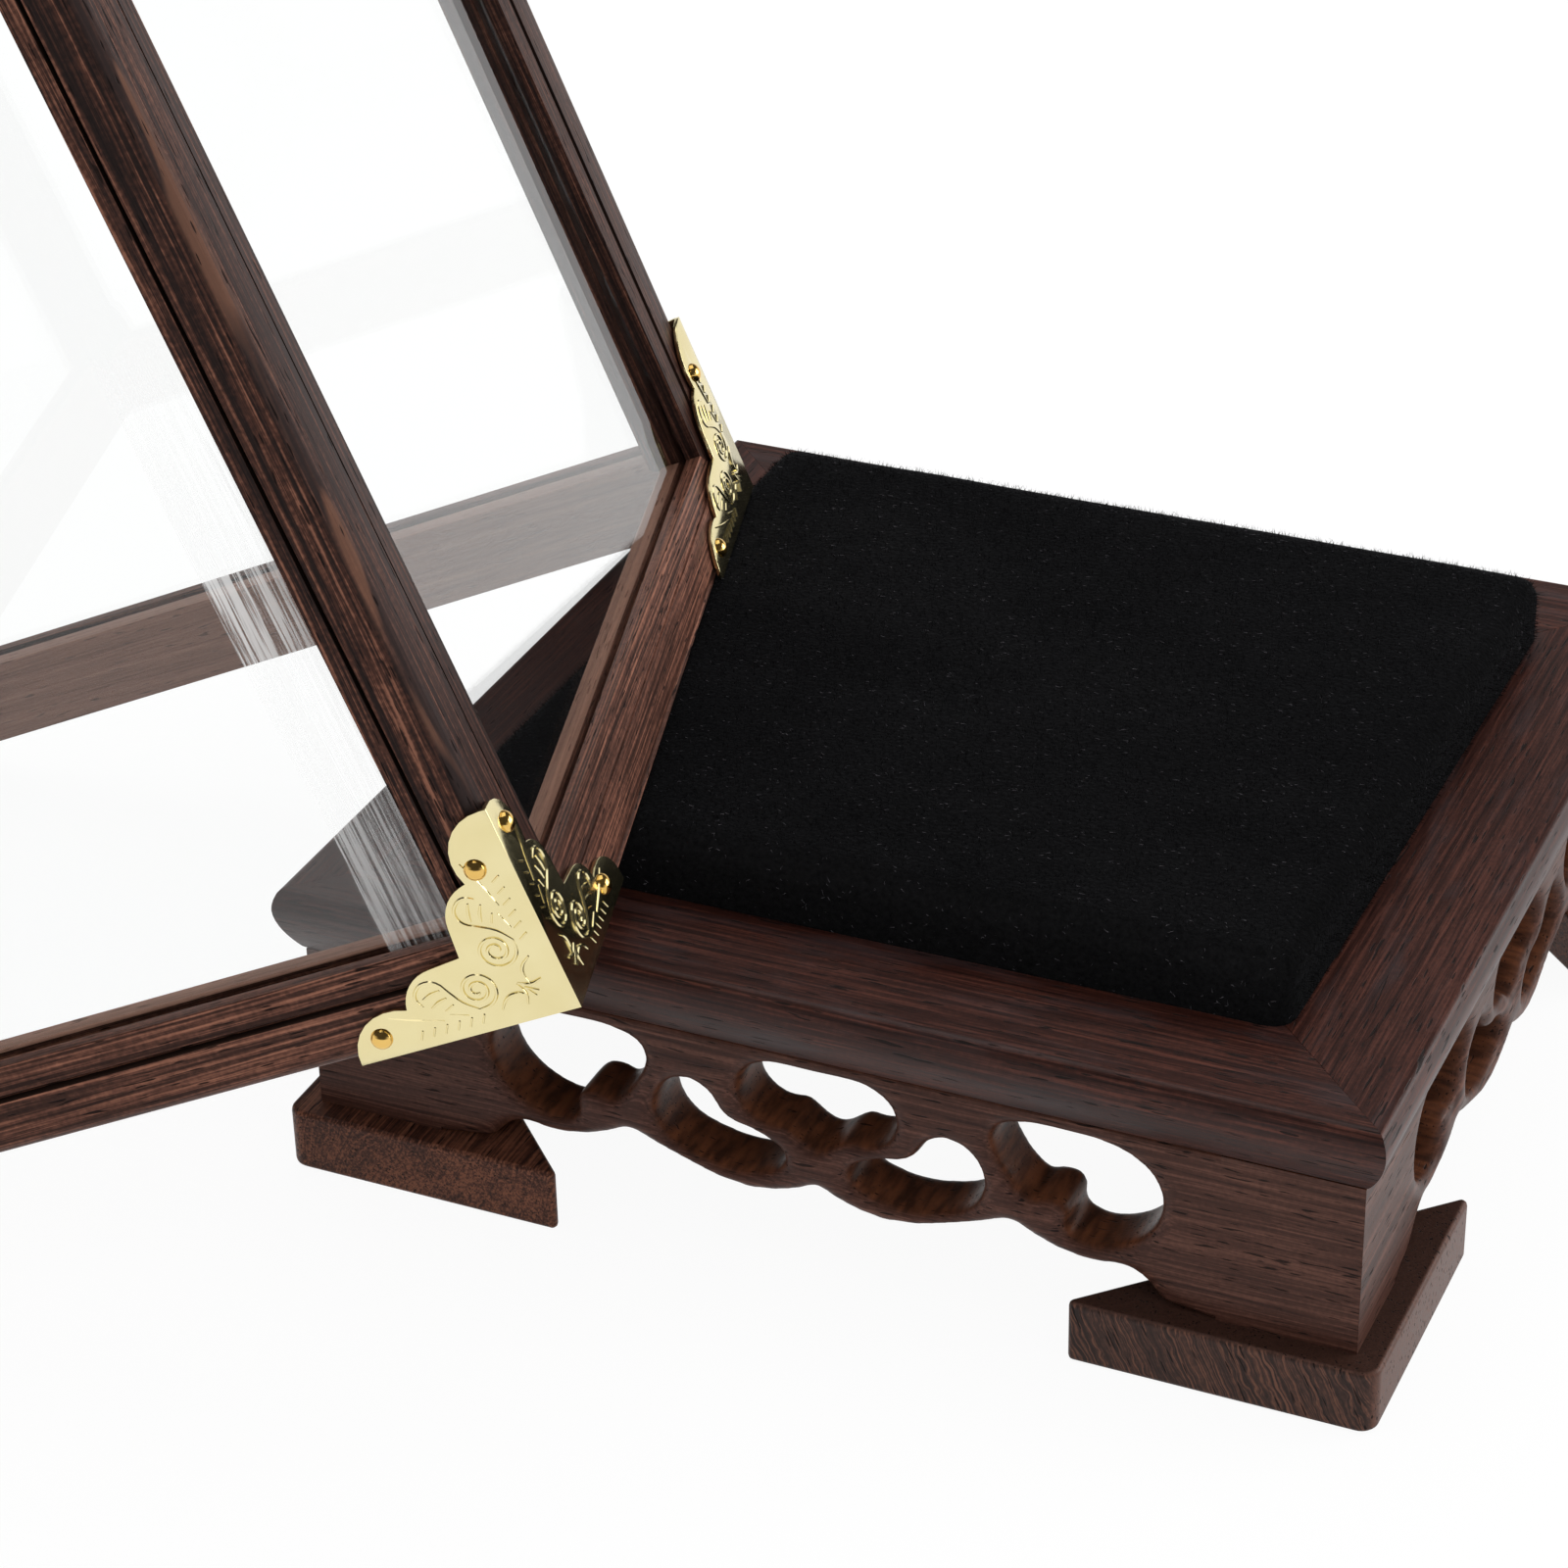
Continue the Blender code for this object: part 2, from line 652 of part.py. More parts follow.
def centre_on_floor(root):
    """Move the whole object so that its box stands on the origin, by its middle."""
    bpy.context.view_layer.update()
    points = []
    for obj in parts.objects:
        if obj.type == "MESH":
            points += [obj.matrix_world @ vertex.co for vertex in obj.data.vertices]
    lows = [min(point[i] for point in points) for i in range(3)]
    highs = [max(point[i] for point in points) for i in range(3)]
    root.location = (-(lows[0] + highs[0]) / 2, -(lows[1] + highs[1]) / 2, -lows[2])


clear_scene()
parts = make_collection("display_stand")
guides = make_collection("guides")
dark_wood = make_material("dark_wood", (0.065, 0.030, 0.022), 0.42)
plain_wood = make_material("plain_wood", (0.16, 0.09, 0.055), 0.65)
velvet_cloth = make_material("velvet_cloth", (0.006, 0.006, 0.007), 0.95)
glass = make_material("glass", (0.95, 0.97, 0.96), 0.03, transmission=1.0)
brass = make_material("brass", (0.62, 0.47, 0.22), 0.33, metallic=1.0)

whole = make_empty("whole")
stand = make_empty("stand", whole)
cover = make_empty("cover", whole)
make_feet(stand)
make_aprons(stand)
make_border(stand)
make_bed(stand)
make_frame(cover)
make_panes(cover)
make_brass(cover)
lean_cover(cover)
centre_on_floor(whole)
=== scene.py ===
"""Looks of the carved display stand and its glass cover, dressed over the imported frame.

Wooden pieces are eased or carved copies of the solids, with grain along each piece. The velvet is a soft pad
with a pile of fibres, the brass corners get raised scrolls and domed pins, and the front pane shows streaks.
"""

import math
import random

import bmesh
import bpy
from mathutils import Matrix, Vector, noise
from mathutils.bvhtree import BVHTree


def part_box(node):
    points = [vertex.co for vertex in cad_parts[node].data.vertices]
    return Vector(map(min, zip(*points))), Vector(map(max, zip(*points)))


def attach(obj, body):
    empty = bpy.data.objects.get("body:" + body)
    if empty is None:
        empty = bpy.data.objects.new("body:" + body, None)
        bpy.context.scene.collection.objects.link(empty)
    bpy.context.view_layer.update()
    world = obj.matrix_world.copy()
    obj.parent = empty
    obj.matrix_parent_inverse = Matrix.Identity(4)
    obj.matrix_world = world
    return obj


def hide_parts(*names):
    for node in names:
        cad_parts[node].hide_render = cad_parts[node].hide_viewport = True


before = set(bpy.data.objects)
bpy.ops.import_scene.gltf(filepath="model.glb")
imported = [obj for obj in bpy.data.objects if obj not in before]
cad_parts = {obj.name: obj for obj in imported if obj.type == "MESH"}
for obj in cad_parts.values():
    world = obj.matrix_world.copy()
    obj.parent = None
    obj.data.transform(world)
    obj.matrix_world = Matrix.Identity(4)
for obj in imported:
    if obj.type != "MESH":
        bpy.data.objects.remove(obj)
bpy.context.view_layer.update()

MM = 0.001
X_AXIS = Vector((1, 0, 0))
Y_AXIS = Vector((0, 1, 0))
Z_AXIS = Vector((0, 0, 1))

# Two of the feet are cut with the grain steep across their front
FOOT_GRAIN = Vector((0.42, 0, -0.91)).normalized()

# Camera, from the middle of the stand's floor, in metres
CAMERA_FROM = (0.19293, -0.50036, 0.35231)
CAMERA_AIM = (-0.03027, -0.01397, 0.03921)
CAMERA_ROLL = math.radians(-1.414)
CAMERA_LENS = 98.05
CAMERA_SENSOR = 36.0

# Light: white all round, and the darker room that the brass mirrors in one direction and above
WHITE = (1.0, 1.0, 1.0, 1.0)
SKY_STRENGTH = 0.96
ROOM_TOWARDS = (0.3, -0.82, 0.49)
ROOM_COLOUR = (0.06, 0.057, 0.054, 1.0)
FLOOR_SIZE = 4.0
FLOOR_BELOW = 0.2 * MM
FLOOR_COLOUR = (0.82, 0.82, 0.82, 1.0)
FLOOR_SHADOW = 0.06
# Each lamp's name, place from the middle of the stand's floor, size and power
LAMPS = (("key", (1.0, 0.6, 0.4), (0.9, 0.7), 10.0), ("top", (-0.3, 0.3, 1.3), (1.2, 1.2), 6.0))

# Wood: how its layers slant and drift, and the colours of its pores, of painted sheen patches, of the stiles'
# flats and of the pale figure beside them, of painted light on carved walls and of the tops of two feet
LAYER_SLANT = 0.55
LAYER_DRIFT = 14 * MM
LAYER_SWAY = 1.7 * MM
PORE_COLOUR = (0.006, 0.003, 0.0025, 1.0)
SHEEN_PATCH_COLOUR = (0.050, 0.045, 0.050, 1.0)
FLAT_COLOUR = (0.026, 0.0105, 0.008, 1.0)
FIGURE_STOPS = ((0.53, (0.028, 0.019, 0.018)), (0.58, (0.135, 0.066, 0.044)))
# Painted light on the walls of carved openings, from dark to pale orange-brown
LIT_WALL_STOPS = ((0.36, (0.038, 0.0145, 0.008)), (0.66, (0.135, 0.046, 0.020)))
FOOT_TOP_COLOUR = (0.010, 0.005, 0.004, 1.0)

# Glass: its tint and index, and the share of a lamp's light that it lets through
GLASS_TINT = (0.995, 1.0, 0.998, 1.0)
GLASS_INDEX = 1.42
GLASS_SHADE = (0.95, 0.96, 0.955, 1.0)

# Eased edges of the wood, and how far its pieces reach into the gaps that the solids leave at joints
EASE_ANGLE = math.radians(40)
BAR_EASE = 0.25 * MM
BORDER_EASE = 0.7 * MM
FOOT_EASE = 1.5 * MM
MITRE_REACH = 0.2 * MM
APRON_REACH = 0.3 * MM

# How far the border goes on below the velvet's edge
BORDER_UNDER = 3.2 * MM

# Cover bars: the walls of a groove face each other within the span. The right bottom rail is wider at the top
# behind its pane, and its groove, which lies at a depth within these limits, is nearly filled.
GROOVE_SPAN = 1.2 * MM
RAIL_BEHIND = 1.4 * MM
RAIL_GROOVE = (1.2 * MM, 1.6 * MM)
RAIL_FILL = 1.05 * MM
EDGE_NEAR = 0.1 * MM

# Carving of the aprons: what is pierced lies within the half width of the middle, and the ends beyond the cut
# stay as they are
CARVE_HALF = 50 * MM
CARVE_FADE = 6 * MM
CARVE_TOP = 2.4 * MM
CARVE_CUT = 57 * MM
CARVE_VOXEL = 0.6 * MM
CARVE_PASSES = 50
CARVE_FACTOR = 0.5
CARVE_KEEP = 0.3

# Velvet
VELVET_RISE = 2.4 * MM
VELVET_ROUND = 3.4 * MM
VELVET_STEPS = 72
VELVET_WAVE = 0.3 * MM
# How far its sides stand back from the border: the right one at its back and its front end, and the front one
# at its left and its right end
VELVET_RIGHT = (0.2 * MM, 1.3 * MM)
VELVET_FRONT = (0.5 * MM, 1.1 * MM)
# The dent under the cover's right bottom rail
PRESSED = 0.25 * MM
PRESSED_WIDTH = 7 * MM
# Fibres, of which the first are lint that lies on the others
PILE_SEED = 4
PILE_COUNT = 70000
PILE_LENGTH = 0.9 * MM
PILE_VARIES = (0.5, 1.15)
PILE_WIDTH = 0.08 * MM
PILE_LEAN = Vector((0.1, -0.15, 0.0))
PILE_STRAY = (0.5, 0.5, 0.3)
LINT_COUNT = 5000
LINT_LENGTH = 0.8 * MM
LINT_VARIES = (0.3, 1.2)
LINT_STRAY = 3
LINT_HEIGHT = 0.7
LINT_FLAT = 0.9

# Brass: how far its face stands off the wood, its embossing and its pins, in flange millimetres
BRASS_OUT = 0.9 * MM
BRASS_EASE = 0.12 * MM
RIDGE_RADIUS = 0.24 * MM
PIN_RADIUS = 1.5 * MM
PIN_RISE = 1.15 * MM
PIN_PLACES = ((26.0, 3.1), (22.7, 3.9))
SCROLL_CENTRE = (11.0, 6.3)
SCROLL_OUTER = 2.9
SCROLL_INNER = 0.55
SCROLL_START = -75
SCROLL_TURNS = 2.1
SCROLL_STEPS = 26
LEAF_STROKES = (
    ((11.8, 3.45), (13.6, 5.0), (14.8, 7.0), (15.8, 8.7), (17.2, 9.2), (18.6, 8.6), (19.3, 7.2), (18.8, 5.9)),
    ((15.8, 7.6), (17.1, 7.4), (18.4, 6.9)),
    ((15.4, 6.3), (16.6, 6.0), (17.8, 5.4)),
    ((14.9, 5.1), (16.2, 4.5)),
    ((13.6, 3.0), (15.9, 3.8)),
    ((17.0, 3.2), (20.5, 4.2), (24.0, 5.6)),
)
CROWN_STROKES = (
    ((9.0, 2.6), (7.8, 4.0), (6.3, 4.3), (5.1, 3.9)),
    ((2.4, 5.5), (4.0, 5.1), (5.6, 5.7)),
    ((4.9, 4.9), (3.9, 3.3)),
)
DASH_FIRST = 11.6
DASH_STEP = 1.75
DASH_COUNT = 6
DASH_RUN = 0.7
DASH_LOW = 1.4
DASH_HIGH = 2.6

# Whitish streaks on the front pane's outer face: a band beside the right stile, measured from the cover's
# right side, that is at its full strength at one height and ends between two others
STREAK_NEAR = 12.0 * MM
STREAK_FAR = 21.5 * MM
STREAK_FULL = 70 * MM
STREAK_END = (80 * MM, 100 * MM)
STREAK_DEPTH = 4 * MM


def node(tree, kind, inputs=None, **settings):
    """A shader node with its settings, and its sockets set to a value or fed from another socket."""
    made = tree.nodes.new(kind)
    for name, value in settings.items():
        setattr(made, name, value)
    for name, value in (inputs or {}).items():
        if isinstance(value, bpy.types.NodeSocket):
            tree.links.new(value, made.inputs[name])
        else:
            made.inputs[name].default_value = value
    return made


def maths(tree, operation, first, second=0.0, clamp=False):
    """A calculation with two numbers or sockets."""
    inputs = {0: first, 1: second}
    return node(tree, "ShaderNodeMath", inputs, operation=operation, use_clamp=clamp).outputs[0]


def scaled(tree, vector, factors):
    """A vector with each part times its factor."""
    return node(tree, "ShaderNodeVectorMath", {0: vector, 1: factors}, operation="MULTIPLY").outputs[0]


def clouds(tree, vector, scale, detail=2.0, seed=0.0, roughness=0.5):
    """Noise through space, from 0 to 1."""
    inputs = {"Vector": vector, "W": seed, "Scale": scale, "Detail": detail, "Roughness": roughness}
    return node(tree, "ShaderNodeTexNoise", inputs, noise_dimensions="4D").outputs["Fac"]


def between(tree, value, low, high):
    """0 where the value is below low, 1 above high, and a straight rise between."""
    inputs = {"Value": value, "From Min": low, "From Max": high}
    return node(tree, "ShaderNodeMapRange", inputs, clamp=True).outputs["Result"]


def mix(tree, factor, first, second):
    """The first colour at a factor of 0, the second at 1."""
    inputs = {0: factor, 6: first, 7: second}
    return node(tree, "ShaderNodeMix", inputs, data_type="RGBA").outputs[2]


def ramp(tree, factor, stops):
    """A colour for each value, straight between stops of (value, colour)."""
    made = node(tree, "ShaderNodeValToRGB", {"Fac": factor})
    elements = made.color_ramp.elements
    while len(elements) < len(stops):
        elements.new(0.5)
    for element, (place, colour) in zip(elements, stops):
        element.position = place
        element.color = (*colour, 1.0)
    return made.outputs["Color"]


def new_material(name):
    """A material, its tree and its shader."""
    material = bpy.data.materials.new(name)
    material.use_nodes = True
    tree = material.node_tree
    return material, tree, tree.nodes["Principled BSDF"]


def piece_seed(tree):
    """A number that differs from piece to piece."""
    return maths(tree, "MULTIPLY", node(tree, "ShaderNodeObjectInfo").outputs["Random"], 40.0)


def wood_material(
    name, colours, pitch, pores, shine, lines=0.3, painted_wall_light=0.0, lenses=0.0, hatch=None, sheen_patches=0.0
):
    """Open-grained wood along x: thin layers about a pitch apart, fine fibres and short dark pores.

    lines is the layers' share of the tone. painted_wall_light is how much the walls of carved openings, which
    look away from y, turn to a paler orange-brown of painted light, with carving strokes. lenses is how much
    pale figure the shoulders beside the faces along z show. hatch sways the layers, and is the colour that
    all faces but those along z take. bloom is how strong the grey-blue patches of painted sheen are.
    """
    material, tree, shader = new_material(name)
    source = node(tree, "ShaderNodeTexCoord").outputs
    place = source["Object"]
    look = node(tree, "ShaderNodeSeparateXYZ", {0: source["Normal"]}).outputs
    seed = piece_seed(tree)

    drift = clouds(tree, scaled(tree, place, (0.05, 1.0, 1.0)), 55.0, 2.0, seed)
    parts = node(tree, "ShaderNodeSeparateXYZ", {0: place}).outputs
    layer = maths(tree, "ADD", parts["Y"], maths(tree, "MULTIPLY", parts["Z"], LAYER_SLANT))
    layer = maths(tree, "ADD", layer, maths(tree, "MULTIPLY", drift, LAYER_DRIFT))
    if hatch:
        sway = clouds(tree, scaled(tree, place, (0.7, 1.0, 1.0)), 560.0, 1.0, seed)
        layer = maths(tree, "ADD", layer, maths(tree, "MULTIPLY", sway, LAYER_SWAY))
    line = node(
        tree,
        "ShaderNodeTexNoise",
        {"W": maths(tree, "ADD", layer, seed), "Scale": 1.0 / pitch, "Detail": 3.0, "Roughness": 0.65},
        noise_dimensions="1D",
    ).outputs["Fac"]

    fibre = clouds(tree, scaled(tree, place, (0.03, 1.0, 1.0)), 3000.0, 2.0, seed, 0.65)
    figure = clouds(tree, scaled(tree, place, (0.075, 1.0, 1.0)), 190.0, 2.0, seed)
    speck = clouds(tree, place, 1500.0, 2.0, seed)
    tone = maths(tree, "MULTIPLY", line, lines)
    tone = maths(tree, "ADD", tone, maths(tree, "MULTIPLY", fibre, 0.7 - lines))
    tone = maths(tree, "ADD", tone, maths(tree, "MULTIPLY", figure, 0.18))
    tone = maths(tree, "ADD", tone, maths(tree, "MULTIPLY", speck, 0.12))
    colour = ramp(tree, tone, colours)

    steep = maths(tree, "ABSOLUTE", look["Z"])
    flat = between(tree, steep, 0.55, 0.9)
    if lenses:
        patch = clouds(tree, scaled(tree, place, (0.11, 1.0, 1.0)), 330.0, 1.0, seed)
        pale = ramp(tree, patch, FIGURE_STOPS)
        shoulder = maths(tree, "SUBTRACT", between(tree, steep, 0.2, 0.45), between(tree, steep, 0.8, 0.97))
        colour = mix(tree, maths(tree, "MULTIPLY", flat, 0.4), colour, FLAT_COLOUR)
        colour = mix(tree, maths(tree, "MULTIPLY", shoulder, lenses), colour, pale)
    if hatch:
        plain = mix(tree, between(tree, fibre, 0.3, 0.7), hatch, [2.0 * value for value in hatch[:3]] + [1.0])
        above = between(tree, maths(tree, "ABSOLUTE", look["X"]), 0.6, 0.88)
        plain = mix(tree, maths(tree, "MULTIPLY", above, 0.6), plain, FOOT_TOP_COLOUR)
        colour = mix(tree, flat, plain, colour)
    # Painted light: walls of carved openings, which look away from y, turn a paler orange-brown for the light
    # that reaches them through the openings; the strokes are carving marks
    if painted_wall_light:
        wall = maths(tree, "SUBTRACT", 1.0, between(tree, maths(tree, "ABSOLUTE", look["Y"]), 0.2, 0.9))
        stroke = clouds(tree, scaled(tree, place, (1.0, 0.25, 1.0)), 900.0, 3.0, seed)
        lit_wall = ramp(tree, stroke, LIT_WALL_STOPS)
        colour = mix(tree, maths(tree, "MULTIPLY", wall, painted_wall_light), colour, lit_wall)
    # Painted sheen: grey-blue patches that stand in for the white surroundings mirrored in the wood
    if sheen_patches:
        sheen_mask = clouds(tree, scaled(tree, place, (0.22, 1.0, 1.0)), 210.0, 3.0, seed, 0.6)
        sheen_mask = maths(tree, "MULTIPLY", between(tree, sheen_mask, 0.52, 0.72), sheen_patches)
        colour = mix(tree, sheen_mask, colour, SHEEN_PATCH_COLOUR)

    grain = clouds(tree, scaled(tree, place, (0.1, 1.0, 1.0)), 3000.0, 0.0, seed)
    sparse = maths(tree, "MULTIPLY", between(tree, figure, 0.35, 0.65), 0.05)
    pore = between(tree, maths(tree, "ADD", grain, sparse), 0.72, 0.78)
    shade = maths(tree, "MULTIPLY", pore, pores)
    colour = mix(tree, shade, colour, PORE_COLOUR)
    tree.links.new(colour, shader.inputs["Base Color"])

    rough = maths(tree, "ADD", maths(tree, "MULTIPLY", fibre, 0.2), 0.3)
    rough = maths(tree, "ADD", rough, maths(tree, "MULTIPLY", pore, 0.25), clamp=True)
    tree.links.new(rough, shader.inputs["Roughness"])
    shader.inputs["Specular IOR Level"].default_value = shine

    relief = maths(tree, "ADD", maths(tree, "MULTIPLY", line, 0.2), maths(tree, "MULTIPLY", fibre, 0.5))
    relief = maths(tree, "SUBTRACT", relief, pore)
    bump = node(tree, "ShaderNodeBump", {"Height": relief, "Distance": 0.1 * MM, "Strength": 0.45})
    tree.links.new(bump.outputs["Normal"], shader.inputs["Normal"])
    return material


def velvet_material(name, low, high, sheen):
    """Black pile, a little paler in brushed drifts, with painted light at the front and painted shade on the
    right.
    """
    material, tree, shader = new_material(name)
    source = node(tree, "ShaderNodeTexCoord").outputs
    place = source["Object"]
    look = node(tree, "ShaderNodeSeparateXYZ", {0: source["Normal"]}).outputs
    drift = clouds(tree, scaled(tree, place, (0.5, 1.0, 1.0)), 55.0, 3.0)
    tuft = clouds(tree, place, 1400.0, 2.0)
    tone = maths(tree, "MULTIPLY", between(tree, drift, 0.35, 0.75), between(tree, tuft, 0.3, 0.8))
    # Painted light: faces that look to the front are paler where the border shades them
    front = between(tree, maths(tree, "MULTIPLY", look["Y"], -0.7), 0.0, 0.7)
    pale = [1.8 * value for value in high[:3]] + [1.0]
    pile = mix(tree, maths(tree, "MULTIPLY", front, tuft), mix(tree, tone, low, high), pale)
    # Painted shade: faces that look to the right, but not to the front, are darker
    deep = [0.3 * value for value in low[:3]] + [1.0]
    right = maths(tree, "MULTIPLY", between(tree, look["X"], 0.1, 0.6), maths(tree, "SUBTRACT", 1.0, front))
    pile = mix(tree, maths(tree, "MULTIPLY", right, 0.85), pile, deep)
    tree.links.new(pile, shader.inputs["Base Color"])
    shader.inputs["Roughness"].default_value = 1.0
    shader.inputs["Specular IOR Level"].default_value = 0.05
    shader.inputs["Sheen Weight"].default_value = sheen
    shader.inputs["Sheen Roughness"].default_value = 0.45
    shader.inputs["Sheen Tint"].default_value = (0.75, 0.78, 0.9, 1.0)
    bump = node(tree, "ShaderNodeBump", {"Height": tuft, "Distance": 0.3 * MM, "Strength": 0.8})
    tree.links.new(bump.outputs["Normal"], shader.inputs["Normal"])
    return material


def glass_material(name, streak_mask=None):
    """Clear sheet glass that lets lamps through. wiped is a mask of whitish streaks on it."""
    material, tree, shader = new_material(name)
    shader.inputs["Base Color"].default_value = GLASS_TINT
    shader.inputs["Roughness"].default_value = 0.0
    shader.inputs["IOR"].default_value = GLASS_INDEX
    shader.inputs["Transmission Weight"].default_value = 1.0
    if streak_mask:
        tree.links.new(maths(tree, "SUBTRACT", 1.0, streak_mask(tree)), shader.inputs["Transmission Weight"])
    clear = node(tree, "ShaderNodeBsdfTransparent", {"Color": GLASS_SHADE})
    lamp = node(tree, "ShaderNodeLightPath").outputs["Is Shadow Ray"]
    inputs = {0: lamp, 1: shader.outputs[0], 2: clear.outputs[0]}
    both = node(tree, "ShaderNodeMixShader", inputs)
    tree.links.new(both.outputs[0], tree.nodes["Material Output"].inputs["Surface"])
    return material


def streak_band(tree):
    """Fine streaks beside the right stile, densest at the band's far edge, in the cover's own axes."""
    place = node(tree, "ShaderNodeTexCoord").outputs["Object"]
    parts = node(tree, "ShaderNodeSeparateXYZ", {0: place}).outputs
    from_right = maths(tree, "SUBTRACT", cover_size.x, parts["X"])
    inside = maths(tree, "SUBTRACT", 1.0, between(tree, from_right, STREAK_FAR - 0.3 * MM, STREAK_FAR))
    density = between(tree, from_right, STREAK_NEAR - 3 * MM, STREAK_FAR)
    streak = clouds(tree, scaled(tree, place, (1.0, 1.0, 0.02)), 1900.0, 3.0, 0.0, 0.7)
    bright = between(tree, maths(tree, "ADD", streak, maths(tree, "MULTIPLY", density, 0.1)), 0.5, 0.6)
    amount = maths(tree, "ADD", maths(tree, "MULTIPLY", bright, 0.62), 0.04)
    amount = maths(tree, "MULTIPLY", amount, maths(tree, "ADD", maths(tree, "MULTIPLY", density, 0.5), 0.5))
    high = maths(tree, "ADD", maths(tree, "MULTIPLY", between(tree, parts["Z"], 0.0, STREAK_FULL), 0.75), 0.25)
    high = maths(tree, "MULTIPLY", high, maths(tree, "SUBTRACT", 1.0, between(tree, parts["Z"], *STREAK_END)))
    outside = maths(tree, "LESS_THAN", parts["Y"], STREAK_DEPTH)
    inside = maths(tree, "MULTIPLY", inside, outside)
    return maths(tree, "MULTIPLY", maths(tree, "MULTIPLY", amount, high), inside)


def brass_material(name, pale, deep, roughness):
    """Polished pressed brass, slightly uneven in colour and shine."""
    material, tree, shader = new_material(name)
    place = node(tree, "ShaderNodeTexCoord").outputs["Object"]
    patch = clouds(tree, place, 160.0, 3.0)
    rub = clouds(tree, scaled(tree, place, (1.0, 0.15, 1.0)), 1800.0, 2.0)
    colour = mix(tree, between(tree, patch, 0.3, 0.8), pale, deep)
    tree.links.new(colour, shader.inputs["Base Color"])
    rough = maths(tree, "ADD", maths(tree, "MULTIPLY", rub, 0.12), roughness)
    tree.links.new(rough, shader.inputs["Roughness"])
    shader.inputs["Metallic"].default_value = 1.0
    bump = node(tree, "ShaderNodeBump", {"Height": patch, "Distance": 0.12 * MM, "Strength": 0.35})
    tree.links.new(bump.outputs["Normal"], shader.inputs["Normal"])
    return material


def add_object(name, data, place=Matrix()):
    """An object in the scene, with its mesh, curve, lamp or camera."""
    obj = bpy.data.objects.new(name, data)
    bpy.context.scene.collection.objects.link(obj)
    obj.matrix_world = place
    return obj


def freeze(obj):
    """Make what the modifiers show the object's own mesh."""
    graph = bpy.context.evaluated_depsgraph_get()
    mesh = bpy.data.meshes.new_from_object(obj.evaluated_get(graph))
    obj.modifiers.clear()
    obj.data = mesh


def smooth_shading(mesh, angle=35):
    """Smooth faces, with edges sharper than an angle in degrees kept crisp."""
    mesh.shade_smooth()
    mesh.set_sharp_from_angle(angle=math.radians(angle))


def solid_copy(cad_node, place, reach=(0.0, 0.0)):
    """A mesh of a solid in a place of its own, with flat faces whole again and edges along x marked.

    It can reach out at both ends along x and along z, to close the gaps that the solids leave at joints.
    """
    bm = bmesh.new()
    bm.from_mesh(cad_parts[cad_node].data)
    bm.transform(place.inverted())
    bmesh.ops.remove_doubles(bm, verts=bm.verts, dist=1e-6)
    bmesh.ops.dissolve_limit(bm, angle_limit=math.radians(0.5), verts=bm.verts, edges=bm.edges)
    bmesh.ops.recalc_face_normals(bm, faces=bm.faces)
    wide = max(abs(vertex.co.x) for vertex in bm.verts)
    high = max(abs(vertex.co.z) for vertex in bm.verts)
    bmesh.ops.scale(bm, verts=bm.verts, vec=(1 + reach[0] / wide, 1, 1 + reach[1] / high))
    weight = bm.edges.layers.float.new("bevel_weight_edge")
    for edge in bm.edges:
        run = edge.verts[1].co - edge.verts[0].co
        lengthwise = abs(run.x) > 0.98 * run.length
        edge[weight] = 1.0 if lengthwise and edge.calc_face_angle(0) > EASE_ANGLE else 0.0
    mesh = bpy.data.meshes.new(cad_node)
    bm.to_mesh(mesh)
    bm.free()
    smooth_shading(mesh)
    return mesh


def dress(obj, body, slot, *nodes):
    """Let a piece stand for CAD nodes and ride on their body. slot is not used."""
    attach(obj, body)
    if nodes:
        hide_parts(*nodes)
    return obj


def grain_place(cad_node, along, upright):
    """A place in the middle of a solid whose x axis follows the grain."""
    low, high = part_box(cad_node)
    side = upright.cross(along)
    place = Matrix((along, side, upright)).transposed().to_4x4()
    place.translation = (low + high) / 2
    return place


def mark_bar(mesh, _place):
    """Give a bar's grooves a dark second material: painted shade in them."""
    points = [vertex.co for vertex in mesh.vertices]
    tree = BVHTree.FromPolygons(points, [tuple(face.vertices) for face in mesh.polygons])
    mesh.materials.append(painted_groove_shade)
    for face in mesh.polygons:
        start = face.center + face.normal * 1e-5
        if tree.ray_cast(start, face.normal, GROOVE_SPAN)[0]:
            face.material_index = 1


def mark_base_rail(mesh, place):
    """A bottom rail's grooves with painted shade in them, and painted light: paler wood on the faces behind
    its pane.

    The right rail is wider at the top there, and its groove is shallow and gets no painted shade.
    """
    on_right = mesh.name.startswith("cover_base_rail_right")
    if not on_right:
        mark_bar(mesh, place)
    heart = place.inverted() @ cover_place @ (cover_size / 2)
    side = math.copysign(1.0, heart.y)
    sides = [vertex.co.y * side for vertex in mesh.vertices]
    middle = (min(sides) + max(sides)) / 2
    # Painted light: faces of the rail's inner half that look into the cover take a much paler wood
    mesh.materials.append(painted_lit_rail_wood)
    for face in mesh.polygons:
        inward = (heart - face.center).normalized()
        if face.normal.dot(inward) > 0.3 and face.center.y * side > middle:
            face.material_index = len(mesh.materials) - 1
    if on_right:
        for vertex in mesh.vertices:
            depth = vertex.co.y * side - min(sides)
            if RAIL_GROOVE[0] < depth < RAIL_GROOVE[1]:
                vertex.co.y -= side * RAIL_FILL
            elif vertex.co.z > 0 and vertex.co.y * side > max(sides) - EDGE_NEAR:
                vertex.co.y += side * RAIL_BEHIND


def reach_under(mesh, place):
    """Draw a border's inner edge on, below the velvet's edge."""
    inner = place.inverted() @ stand_middle
    side = 1 if inner.y > 0 else -1
    edge = max(vertex.co.y * side for vertex in mesh.vertices)
    for vertex in mesh.vertices:
        if vertex.co.y * side > edge - EDGE_NEAR:
            vertex.co.y += side * BORDER_UNDER
            vertex.co.x -= math.copysign(BORDER_UNDER, vertex.co.x)


